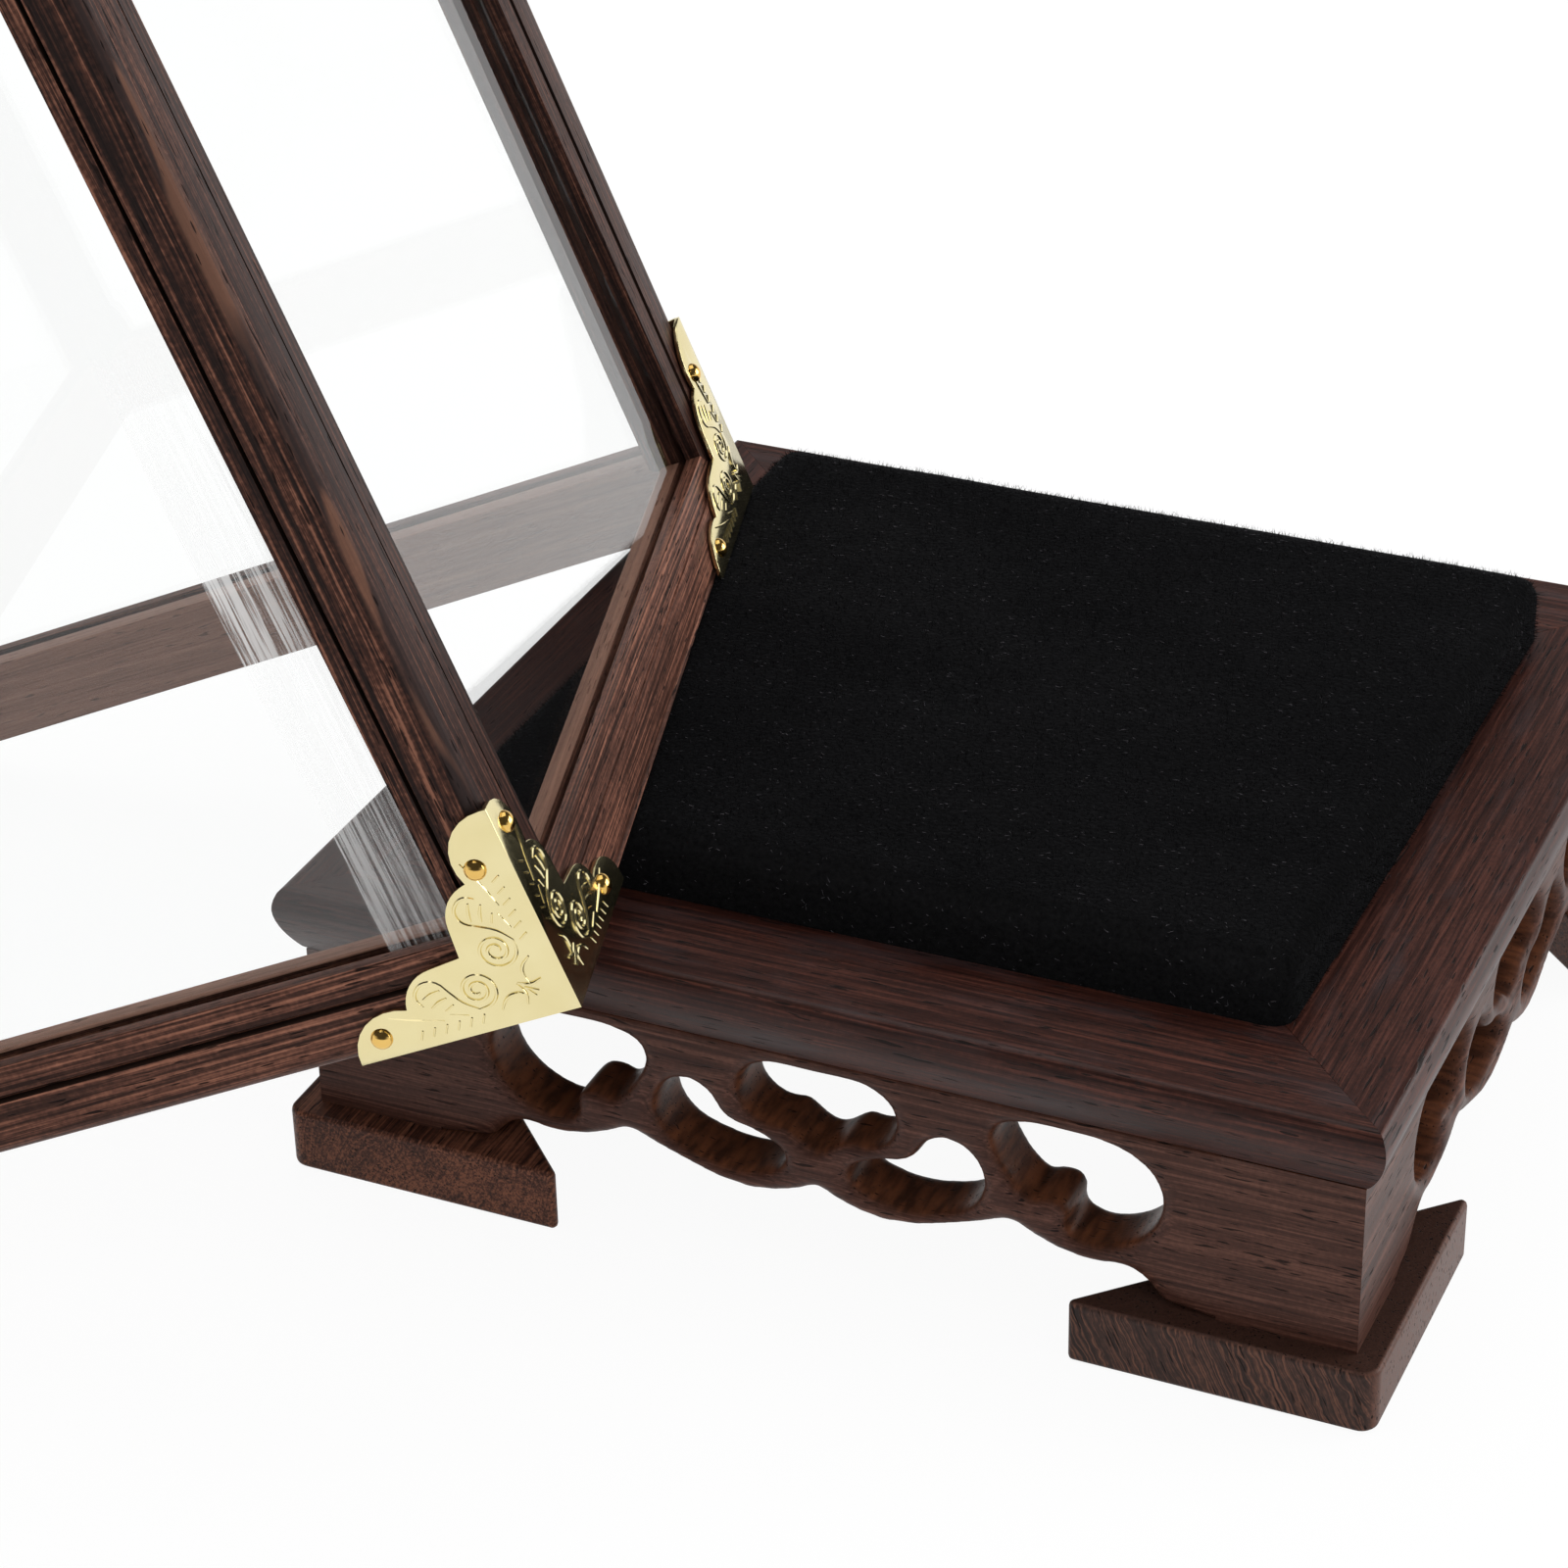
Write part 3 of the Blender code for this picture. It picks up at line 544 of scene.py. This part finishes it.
def wood_piece(
    cad_node, material, along, upright, body, ease, reach=(0.0, 0.0), all_edges=False, change=None
):
    """A wooden solid with grain along it. Its long edges are eased, or all of them, and its joints closed.

    change is a function that alters the piece's mesh, given the mesh and the piece's place.
    """
    place = grain_place(cad_node, along, upright)
    mesh = solid_copy(cad_node, place, reach)
    mesh.materials.append(material)
    if change:
        change(mesh, place)
    obj = add_object(f"wood_{cad_node}", mesh, place)
    if ease:
        edges = obj.modifiers.new("eased_edges", "BEVEL")
        edges.width = ease
        edges.segments = 3
        edges.limit_method = "ANGLE" if all_edges else "WEIGHT"
        edges.angle_limit = EASE_ANGLE
        edges.harden_normals = True
    return dress(obj, body, "dark_wood", cad_node)


def carve_weight(point, top):
    """How much a point of an apron is carved, from 0 at its ends and its top edge to 1."""
    along = min(max((CARVE_HALF + CARVE_FADE - abs(point.x)) / CARVE_FADE, 0), 1)
    below = min(max((top - point.z) / CARVE_TOP, 0), 1)
    return along * below


def keep_part(mesh, middle):
    """The middle of an apron between the two cuts, or what is beyond them."""
    bm = bmesh.new()
    bm.from_mesh(mesh)
    for side in (1, -1):
        geometry = bm.verts[:] + bm.edges[:] + bm.faces[:]
        cut = (side * CARVE_CUT, 0, 0)
        bmesh.ops.bisect_plane(bm, geom=geometry, plane_co=cut, plane_no=(side, 0, 0), clear_outer=middle)
    if not middle:
        inner = [face for face in bm.faces if abs(face.calc_center_median().x) < CARVE_CUT]
        bmesh.ops.delete(bm, geom=inner, context="FACES")
    return bm


def carve(obj):
    """Round the lips of an apron's piercings and scallops, as a carver's knife leaves them."""
    plain = keep_part(obj.data, middle=False)
    fine = obj.modifiers.new("fine", "REMESH")
    fine.mode = "VOXEL"
    fine.voxel_size = CARVE_VOXEL
    freeze(obj)
    mesh = obj.data
    top = max(vertex.co.z for vertex in mesh.vertices)
    group = obj.vertex_groups.new(name="carved")
    for vertex in mesh.vertices:
        group.add([vertex.index], carve_weight(vertex.co, top), "REPLACE")
    knife = obj.modifiers.new("knife", "SMOOTH")
    knife.factor = CARVE_FACTOR
    knife.iterations = CARVE_PASSES
    knife.vertex_group = group.name
    fewer = obj.modifiers.new("fewer", "DECIMATE")
    fewer.ratio = CARVE_KEEP
    freeze(obj)
    carved = keep_part(obj.data, middle=True)
    ends = bpy.data.meshes.new("ends")
    plain.to_mesh(ends)
    plain.free()
    carved.from_mesh(ends)
    bpy.data.meshes.remove(ends)
    carved.to_mesh(obj.data)
    carved.free()
    smooth_shading(obj.data, 50)


def make_stand_wood():
    """The stand's carved aprons, its border and its feet."""
    sides = (("front", X_AXIS), ("back", X_AXIS), ("left", Y_AXIS), ("right", Y_AXIS))
    closed = (MITRE_REACH, APRON_REACH)
    mitre = (MITRE_REACH, 0.0)
    for side, along in sides:
        carve(wood_piece(f"apron_{side}", apron_wood, along, Z_AXIS, "stand", 0, closed))
        border = f"top_rail_{side}"
        wood_piece(border, border_wood, along, Z_AXIS, "stand", BORDER_EASE, mitre, change=reach_under)
    for corner in ("front_left", "back_right"):
        wood_piece(f"foot_{corner}", end_wood, Y_AXIS, Z_AXIS, "stand", FOOT_EASE, all_edges=True)
    for corner in ("front_right", "back_left"):
        wood_piece(f"foot_{corner}", foot_wood, FOOT_GRAIN, Y_AXIS, "stand", FOOT_EASE, all_edges=True)


def pane_faces(cad_node, towards):
    """Which way a pane's broad faces look, taken on the side of a given direction."""
    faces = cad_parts[cad_node].data.polygons
    normal = max(faces, key=lambda face: face.area).normal.copy()
    return normal if normal.dot(towards) > 0 else -normal


def cover_frame():
    """The cover's own axes at its lower front left corner, and its size along them."""
    right = pane_faces("cover_pane_right", X_AXIS)
    up = pane_faces("cover_pane_top", Z_AXIS)
    back = up.cross(right)
    place = Matrix((right, back, up)).transposed()
    points = []
    for name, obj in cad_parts.items():
        if name.startswith("cover_"):
            points += [place.transposed() @ vertex.co for vertex in obj.data.vertices]
    low = Vector([min(point[i] for point in points) for i in range(3)])
    high = Vector([max(point[i] for point in points) for i in range(3)])
    whole = place.to_4x4()
    whole.translation = place @ low
    return whole, high - low


def make_bar(cad_node, material, along, upright):
    """One bar of the cover, with its mitres closed and its grooves marked with painted shade, save the right
    bottom rail's.
    """
    mitre = (MITRE_REACH, 0.0)
    change = mark_base_rail if "base_rail" in cad_node else mark_bar
    wood_piece(cad_node, material, along, upright, "cover", BAR_EASE, mitre, change=change)


def make_cover_wood():
    """The cover's rails and stiles."""
    right, back, up = (cover_place.col[i].to_3d() for i in range(3))
    for height in ("base", "top"):
        for side in ("front", "back"):
            make_bar(f"cover_{height}_rail_{side}", rail_wood, right, up)
        for side in ("left", "right"):
            make_bar(f"cover_{height}_rail_{side}", rail_wood, back, up)
    for depth in ("front", "back"):
        for width in ("left", "right"):
            make_bar(f"cover_stile_{depth}_{width}", stile_wood, up, right)


def rounded(point, low, high, radius):
    """A point of a box moved onto the same box with round edges."""
    core = Vector([min(max(point[i], low[i] + radius), high[i] - radius) for i in range(3)])
    off = point - core
    return core + off.normalized() * radius if off.length > 1e-9 else point


def drawn_in(point, half):
    """A point of the bed, from its middle, with the bed's right and front sides standing back."""
    along = (point.y / half.y + 1) / 2
    across = (point.x / half.x + 1) / 2
    right = max(point.x / half.x, 0) * (VELVET_RIGHT[1] + (VELVET_RIGHT[0] - VELVET_RIGHT[1]) * along)
    front = max(-point.y / half.y, 0) * (VELVET_FRONT[0] + (VELVET_FRONT[1] - VELVET_FRONT[0]) * across)
    return point + Vector((-right, front, 0))


def velvet_point(point, half):
    """A point of the pad's plain box moved to where the soft pad has it, from the pad's middle."""
    lift = VELVET_WAVE * (noise.noise(point * 45) + 0.5) if point.z > half.z - 1e-6 else 0.0
    below = Vector((0, 0, VELVET_ROUND))
    return drawn_in(rounded(point, -half - below, half, VELVET_ROUND), half) + Z_AXIS * lift


def press(point):
    """A point of the velvet, in the world, pushed down to the underside of the rail that leans on it."""
    low = cover_place.inverted() @ point
    off_rail = abs(low.x - cover_size.x + PRESSED_WIDTH / 2) - PRESSED_WIDTH / 2
    if low.z > -PRESSED and off_rail < PRESSED:
        up = cover_place.col[2].to_3d()
        return point - Z_AXIS * (low.z + PRESSED) / up.z
    return point


def make_velvet():
    """The padded bed: round edges, a gentle unevenness and a dent where the cover leans, then its pile."""
    low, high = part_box("velvet_bed")
    high.z += VELVET_RISE
    middle = (low + high) / 2
    half = (high - low) / 2
    bm = bmesh.new()
    bmesh.ops.create_cube(bm, size=2.0)
    bmesh.ops.scale(bm, verts=bm.verts, vec=half)
    bmesh.ops.subdivide_edges(bm, edges=bm.edges, cuts=VELVET_STEPS, use_grid_fill=True)
    for vertex in bm.verts:
        vertex.co = press(middle + velvet_point(vertex.co, half)) - middle
    mesh = bpy.data.meshes.new("velvet")
    bm.to_mesh(mesh)
    bm.free()
    mesh.shade_smooth()
    mesh.materials.append(velvet)
    bed = add_object("velvet_pad", mesh, Matrix.Translation(middle))
    dress(bed, "stand", "velvet", "velvet_bed")
    make_pile(mesh, middle)
    make_bed_board(half)


def make_bed_board(half):
    """The board inside the velvet, drawn in as the velvet is."""
    low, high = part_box("bed_board")
    place = Matrix.Translation((low + high) / 2)
    mesh = solid_copy("bed_board", place)
    for vertex in mesh.vertices:
        vertex.co = drawn_in(vertex.co, half)
    mesh.materials.append(plain_wood)
    dress(add_object("wood_bed_board", mesh, place), "stand", "plain_wood", "bed_board")


def make_pile(mesh, middle):
    """Short fibres all over the pad, as blades of one face each, with a little pale lint among them."""
    draw = random.Random(PILE_SEED)
    faces = [face for face in mesh.polygons if face.normal.z > -0.2]
    weights = [face.area for face in faces]
    chosen = draw.choices(faces, weights, k=PILE_COUNT)
    points = []
    blades = []
    slots = []
    for number, face in enumerate(chosen):
        corners = [mesh.vertices[i].co for i in face.vertices]
        across = draw.random()
        along = draw.random()
        foot = corners[0].lerp(corners[1], across).lerp(corners[3].lerp(corners[2], across), along)
        stray = Vector([draw.gauss(0, spread) for spread in PILE_STRAY])
        is_lint = number < LINT_COUNT
        direction = (face.normal + PILE_LEAN + stray * (LINT_STRAY if is_lint else 1)).normalized()
        side = direction.orthogonal().normalized() * PILE_WIDTH / (4 if is_lint else 2)
        start = len(points)
        if is_lint:
            foot = foot + face.normal * PILE_LENGTH * LINT_HEIGHT
            direction = direction - face.normal * direction.dot(face.normal) * LINT_FLAT
            tip = foot + direction * LINT_LENGTH * draw.uniform(*LINT_VARIES)
        else:
            tip = foot + direction * PILE_LENGTH * draw.uniform(*PILE_VARIES)
        points += [foot - side, foot + side, tip]
        blades.append((start, start + 1, start + 2))
        slots.append(1 if is_lint else 0)
    pile = bpy.data.meshes.new("pile")
    pile.from_pydata(points, [], blades)
    pile.materials.append(fibres)
    pile.materials.append(lint)
    pile.polygons.foreach_set("material_index", slots)
    dress(add_object("velvet_pile", pile, Matrix.Translation(middle)), "stand", "velvet")


def corner_place(x_side, y_side, z_side):
    """The place of a brass corner: its axes run from the cover's corner along the three edges."""
    corner = Vector((x_side * cover_size.x, y_side * cover_size.y, z_side * cover_size.z))
    signs = (1 - 2 * x_side, 1 - 2 * y_side, 1 - 2 * z_side)
    axes = [X_AXIS * signs[0], Y_AXIS * signs[1], Z_AXIS * signs[2]]
    if signs[0] * signs[1] * signs[2] < 0:
        axes[0], axes[1] = axes[1], axes[0]
    place = Matrix(axes).transposed().to_4x4()
    place.translation = corner
    return cover_place @ place


def scroll():
    """The spiral of one half of a flange, from its tail inwards."""
    points = []
    for step in range(SCROLL_STEPS + 1):
        share = step / SCROLL_STEPS
        turn = math.radians(SCROLL_START) - 2 * math.pi * SCROLL_TURNS * share
        radius = SCROLL_OUTER + (SCROLL_INNER - SCROLL_OUTER) * share**0.8
        across = SCROLL_CENTRE[0] + radius * math.cos(turn)
        points.append((across, SCROLL_CENTRE[1] + radius * math.sin(turn)))
    return points


def dashes():
    """Slanting strokes in a row along one edge of a flange."""
    return [
        ((DASH_FIRST + DASH_STEP * i + DASH_RUN, DASH_LOW), (DASH_FIRST + DASH_STEP * i, DASH_HIGH))
        for i in range(DASH_COUNT)
    ]


def flange_ornament():
    """Raised strokes of one flange as a mesh: half a pattern and its mirror image, z out of the sheet."""
    curve = bpy.data.curves.new("ornament", "CURVE")
    curve.dimensions = "3D"
    curve.bevel_depth = RIDGE_RADIUS
    curve.bevel_resolution = 1
    curve.resolution_u = 3
    curve.use_fill_caps = True
    strokes = [scroll(), *LEAF_STROKES, *CROWN_STROKES, *dashes()]
    for stroke in strokes + [[(y, x) for x, y in stroke] for stroke in strokes]:
        spline = curve.splines.new("BEZIER")
        spline.bezier_points.add(len(stroke) - 1)
        for point, (x, y) in zip(spline.bezier_points, stroke):
            point.co = (x * MM, y * MM, 0)
            point.handle_left_type = "AUTO"
            point.handle_right_type = "AUTO"
        spline.bezier_points[0].radius = 0.55
        spline.bezier_points[-1].radius = 0.55
    guide = add_object("ornament", curve)
    graph = bpy.context.evaluated_depsgraph_get()
    mesh = bpy.data.meshes.new_from_object(guide.evaluated_get(graph))
    bpy.data.objects.remove(guide, do_unlink=True)
    return mesh


def add_pins(bm, number):
    """Domed pin heads of one flange, with the second material. They change places from flange to flange."""
    for x, y in (PIN_PLACES[1 - number % 2], PIN_PLACES[number % 2][::-1]):
        shape = Matrix.Translation((x * MM, y * MM, 0)) @ Matrix.Diagonal((1, 1, PIN_RISE / PIN_RADIUS, 1))
        made = bmesh.ops.create_uvsphere(bm, u_segments=20, v_segments=12, radius=PIN_RADIUS, matrix=shape)
        for face in {face for vertex in made["verts"] for face in vertex.link_faces}:
            face.material_index = 1


def brass_mesh(cad_node, place, flanges):
    """A brass corner: the bent sheet with eased edges, its ornament and its pins."""
    sheet = add_object("sheet", solid_copy(cad_node, place))
    edges = sheet.modifiers.new("eased_edges", "BEVEL")
    edges.width = BRASS_EASE
    edges.segments = 2
    edges.limit_method = "ANGLE"
    edges.angle_limit = EASE_ANGLE
    freeze(sheet)
    bm = bmesh.new()
    bm.from_mesh(sheet.data)
    bpy.data.objects.remove(sheet, do_unlink=True)
    ornament = flange_ornament()
    for number, (first, second, outward) in enumerate(flanges):
        flange = Matrix((first, second, outward)).transposed().to_4x4()
        flange.translation = outward * BRASS_OUT
        made = bmesh.new()
        made.from_mesh(ornament)
        add_pins(made, number)
        made.transform(flange)
        bmesh.ops.recalc_face_normals(made, faces=made.faces)
        joined = bpy.data.meshes.new("flange")
        made.to_mesh(joined)
        made.free()
        bm.from_mesh(joined)
        bpy.data.meshes.remove(joined)
    mesh = bpy.data.meshes.new(cad_node)
    bm.to_mesh(mesh)
    bm.free()
    smooth_shading(mesh, 50)
    mesh.materials.append(brass)
    mesh.materials.append(pin_brass)
    return mesh


def make_brass():
    """The eight brass corners, four alike at the bottom and four at the top."""
    over_sides = ((X_AXIS, Z_AXIS, -Y_AXIS), (Y_AXIS, Z_AXIS, -X_AXIS))
    over_top = ((X_AXIS, Y_AXIS, -Z_AXIS),)
    for z_side, height, flanges in ((0, "base", over_sides), (1, "top", over_sides + over_top)):
        mesh = None
        for y_side, depth in ((0, "front"), (1, "back")):
            for x_side, width in ((0, "left"), (1, "right")):
                cad_node = f"brass_corner_{height}_{depth}_{width}"
                place = corner_place(x_side, y_side, z_side)
                mesh = mesh or brass_mesh(cad_node, place, flanges)
                dress(add_object(f"brass_{height}_{depth}_{width}", mesh, place), "cover", "brass", cad_node)


def make_front_pane():
    """The front pane in the cover's own axes, which its streaks follow."""
    mesh = solid_copy("cover_pane_front", cover_place)
    mesh.materials.append(streaked_glass)
    dress(add_object("glass_front", mesh, cover_place), "cover", "glass", "cover_pane_front")


def finish_cad_nodes():
    """Give the solids that stay in sight their materials."""
    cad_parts["deck_board"].material_slots[0].material = plain_wood
    for side in ("back", "left", "right", "top"):
        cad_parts[f"cover_pane_{side}"].material_slots[0].material = glass


def seen_directly(tree):
    """1 for what the camera sees, also in metal and through glass."""
    path = node(tree, "ShaderNodeLightPath").outputs
    seen = maths(tree, "MAXIMUM", path["Is Camera Ray"], path["Is Glossy Ray"])
    return maths(tree, "MAXIMUM", seen, path["Is Transmission Ray"])


def stage_floor(middle):
    """A white floor that the camera, metal and glass see as lit paper, and that other light falls on."""
    bm = bmesh.new()
    bmesh.ops.create_grid(bm, x_segments=1, y_segments=1, size=FLOOR_SIZE)
    mesh = bpy.data.meshes.new("floor")
    bm.to_mesh(mesh)
    bm.free()
    material, tree, shader = new_material("floor_paper")
    shader.inputs["Base Color"].default_value = FLOOR_COLOUR
    shader.inputs["Roughness"].default_value = 1.0
    shader.inputs["Specular IOR Level"].default_value = 0.0
    paper = node(tree, "ShaderNodeEmission", {"Color": WHITE, "Strength": 1.0})
    shadow = node(tree, "ShaderNodeMixShader", {0: FLOOR_SHADOW, 1: paper.outputs[0], 2: shader.outputs[0]})
    inputs = {0: seen_directly(tree), 1: shader.outputs[0], 2: shadow.outputs[0]}
    both = node(tree, "ShaderNodeMixShader", inputs)
    tree.links.new(both.outputs[0], tree.nodes["Material Output"].inputs["Surface"])
    mesh.materials.append(material)
    floor = add_object("floor", mesh, Matrix.Translation((middle.x, middle.y, -FLOOR_BELOW)))


def stage_world():
    """White paper all round. Shiny things mirror a darker room above it and in front."""
    world = bpy.data.worlds.new("studio")
    bpy.context.scene.world = world
    world.use_nodes = True
    tree = world.node_tree
    light = tree.nodes["Background"]
    light.inputs["Color"].default_value = WHITE
    light.inputs["Strength"].default_value = SKY_STRENGTH
    paper = node(tree, "ShaderNodeBackground", {"Color": WHITE, "Strength": 1.0})
    inputs = {0: seen_directly(tree), 1: light.outputs[0], 2: paper.outputs[0]}
    both = node(tree, "ShaderNodeMixShader", inputs)
    direction = node(tree, "ShaderNodeTexCoord").outputs["Generated"]
    inputs = {0: direction, 1: ROOM_TOWARDS}
    towards = node(tree, "ShaderNodeVectorMath", inputs, operation="DOT_PRODUCT").outputs["Value"]
    mirrored = node(tree, "ShaderNodeLightPath").outputs["Is Glossy Ray"]
    height = node(tree, "ShaderNodeSeparateXYZ", {0: direction}).outputs["Z"]
    dark = maths(tree, "MAXIMUM", between(tree, towards, 0.35, 0.85), between(tree, height, 0.12, 0.4))
    dark = maths(tree, "MULTIPLY", dark, mirrored)
    room = node(tree, "ShaderNodeBackground", {"Color": ROOM_COLOUR, "Strength": 1.0})
    whole = node(tree, "ShaderNodeMixShader", {0: dark, 1: both.outputs[0], 2: room.outputs[0]})
    tree.links.new(whole.outputs[0], tree.nodes["World Output"].inputs["Surface"])


def stage_lamp(name, place, aim, size, power):
    """A soft rectangular lamp that looks at the aim."""
    lamp = bpy.data.lights.new(name, "AREA")
    lamp.shape = "RECTANGLE"
    lamp.size = size[0]
    lamp.size_y = size[1]
    lamp.energy = power
    obj = add_object(name, lamp)
    obj.location = place
    obj.rotation_euler = (aim - place).to_track_quat("-Z", "Y").to_euler()


def stage_camera(middle):
    """The camera at the photograph's viewing angle."""
    data = bpy.data.cameras.new("camera")
    data.sensor_width = CAMERA_SENSOR
    data.lens = CAMERA_LENS
    camera = add_object("camera", data)
    start = middle + Vector(CAMERA_FROM)
    look = middle + Vector(CAMERA_AIM) - start
    camera.location = start
    turn = look.to_track_quat("-Z", "Y").to_matrix() @ Matrix.Rotation(CAMERA_ROLL, 3, "Z")
    camera.rotation_euler = turn.to_euler()
    bpy.context.scene.camera = camera


stand_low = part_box("foot_front_left")[0]
stand_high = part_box("foot_back_right")[1]
stand_middle = (stand_low + stand_high) / 2
stand_middle.z = 0
cover_place, cover_size = cover_frame()

stile_wood = wood_material(
    "stile_wood",
    (
        (0.40, (0.009, 0.0050, 0.0045)),
        (0.47, (0.017, 0.0085, 0.0070)),
        (0.53, (0.055, 0.0220, 0.0150)),
        (0.60, (0.205, 0.0880, 0.0560)),
    ),
    pitch=0.55 * MM,
    pores=0.9,
    shine=0.08,
    lines=0.4,
    lenses=0.75,
)
rail_wood = wood_material(
    "rail_wood",
    (
        (0.39, (0.022, 0.0095, 0.007)),
        (0.46, (0.043, 0.0185, 0.013)),
        (0.52, (0.105, 0.0430, 0.029)),
        (0.61, (0.265, 0.1150, 0.073)),
    ),
    pitch=0.55 * MM,
    pores=0.9,
    shine=0.08,
    lines=0.4,
)
# Painted shade: the dark colour of the cover bars' grooves
painted_groove_shade = wood_material(
    "painted_groove_shade",
    ((0.4, (0.010, 0.006, 0.005)), (0.6, (0.022, 0.012, 0.009))),
    pitch=0.8 * MM,
    pores=0.0,
    shine=0.02,
)
# Painted light: a paler copy of the rail wood for the bottom rails' inner faces
painted_lit_rail_wood = wood_material(
    "painted_lit_rail_wood",
    (
        (0.36, (0.185, 0.092, 0.064)),
        (0.50, (0.285, 0.150, 0.105)),
        (0.64, (0.390, 0.215, 0.152)),
    ),
    pitch=0.9 * MM,
    pores=0.5,
    shine=0.08,
)
border_wood = wood_material(
    "border_wood",
    (
        (0.38, (0.011, 0.0032, 0.0025)),
        (0.50, (0.031, 0.0088, 0.0058)),
        (0.63, (0.084, 0.0255, 0.0162)),
    ),
    pitch=0.9 * MM,
    pores=0.85,
    shine=0.22,
    lines=0.25,
    sheen_patches=0.3,
)
apron_wood = wood_material(
    "apron_wood",
    (
        (0.38, (0.024, 0.0095, 0.007)),
        (0.50, (0.053, 0.0215, 0.015)),
        (0.62, (0.118, 0.0520, 0.037)),
    ),
    pitch=0.6 * MM,
    pores=0.85,
    shine=0.13,
    lines=0.35,
    painted_wall_light=0.9,
)
foot_wood = wood_material(
    "foot_wood",
    (
        (0.43, (0.022, 0.0130, 0.011)),
        (0.51, (0.045, 0.0230, 0.018)),
        (0.60, (0.130, 0.0580, 0.038)),
    ),
    pitch=0.5 * MM,
    pores=0.9,
    shine=0.13,
    lines=0.48,
    hatch=(0.052, 0.0235, 0.0165, 1.0),
)
end_wood = wood_material(
    "end_wood",
    (
        (0.42, (0.024, 0.0095, 0.007)),
        (0.50, (0.075, 0.0280, 0.017)),
        (0.57, (0.175, 0.0680, 0.039)),
    ),
    pitch=0.5 * MM,
    pores=0.9,
    shine=0.13,
    lines=0.2,
)
plain_wood = wood_material(
    "plain_wood",
    ((0.38, (0.10, 0.055, 0.032)), (0.50, (0.16, 0.09, 0.055)), (0.63, (0.23, 0.14, 0.09))),
    pitch=1.6 * MM,
    pores=0.4,
    shine=0.1,
)
velvet = velvet_material("velvet", (0.0009, 0.0009, 0.0010, 1.0), (0.005, 0.005, 0.0053, 1.0), 0.02)
fibres = velvet_material("velvet_fibres", (0.0010, 0.0010, 0.0011, 1.0), (0.0060, 0.0058, 0.0062, 1.0), 0.02)
lint = velvet_material("velvet_lint", (0.012, 0.010, 0.014, 1.0), (0.20, 0.185, 0.205, 1.0), 0.05)
glass = glass_material("glass")
streaked_glass = glass_material("streaked_glass", streak_band)
brass = brass_material("brass", (0.84, 0.74, 0.42, 1.0), (0.79, 0.68, 0.36, 1.0), 0.10)
pin_brass = brass_material("pin_brass", (0.85, 0.56, 0.17, 1.0), (0.74, 0.44, 0.11, 1.0), 0.08)

make_stand_wood()
make_cover_wood()
make_velvet()
make_brass()
make_front_pane()
finish_cad_nodes()

stage_floor(stand_middle)
stage_world()
for lamp_name, lamp_from, lamp_size, lamp_power in LAMPS:
    stage_lamp(lamp_name, stand_middle + Vector(lamp_from), stand_middle, lamp_size, lamp_power)
stage_camera(stand_middle)
bpy.context.scene.view_settings.view_transform = "Standard"
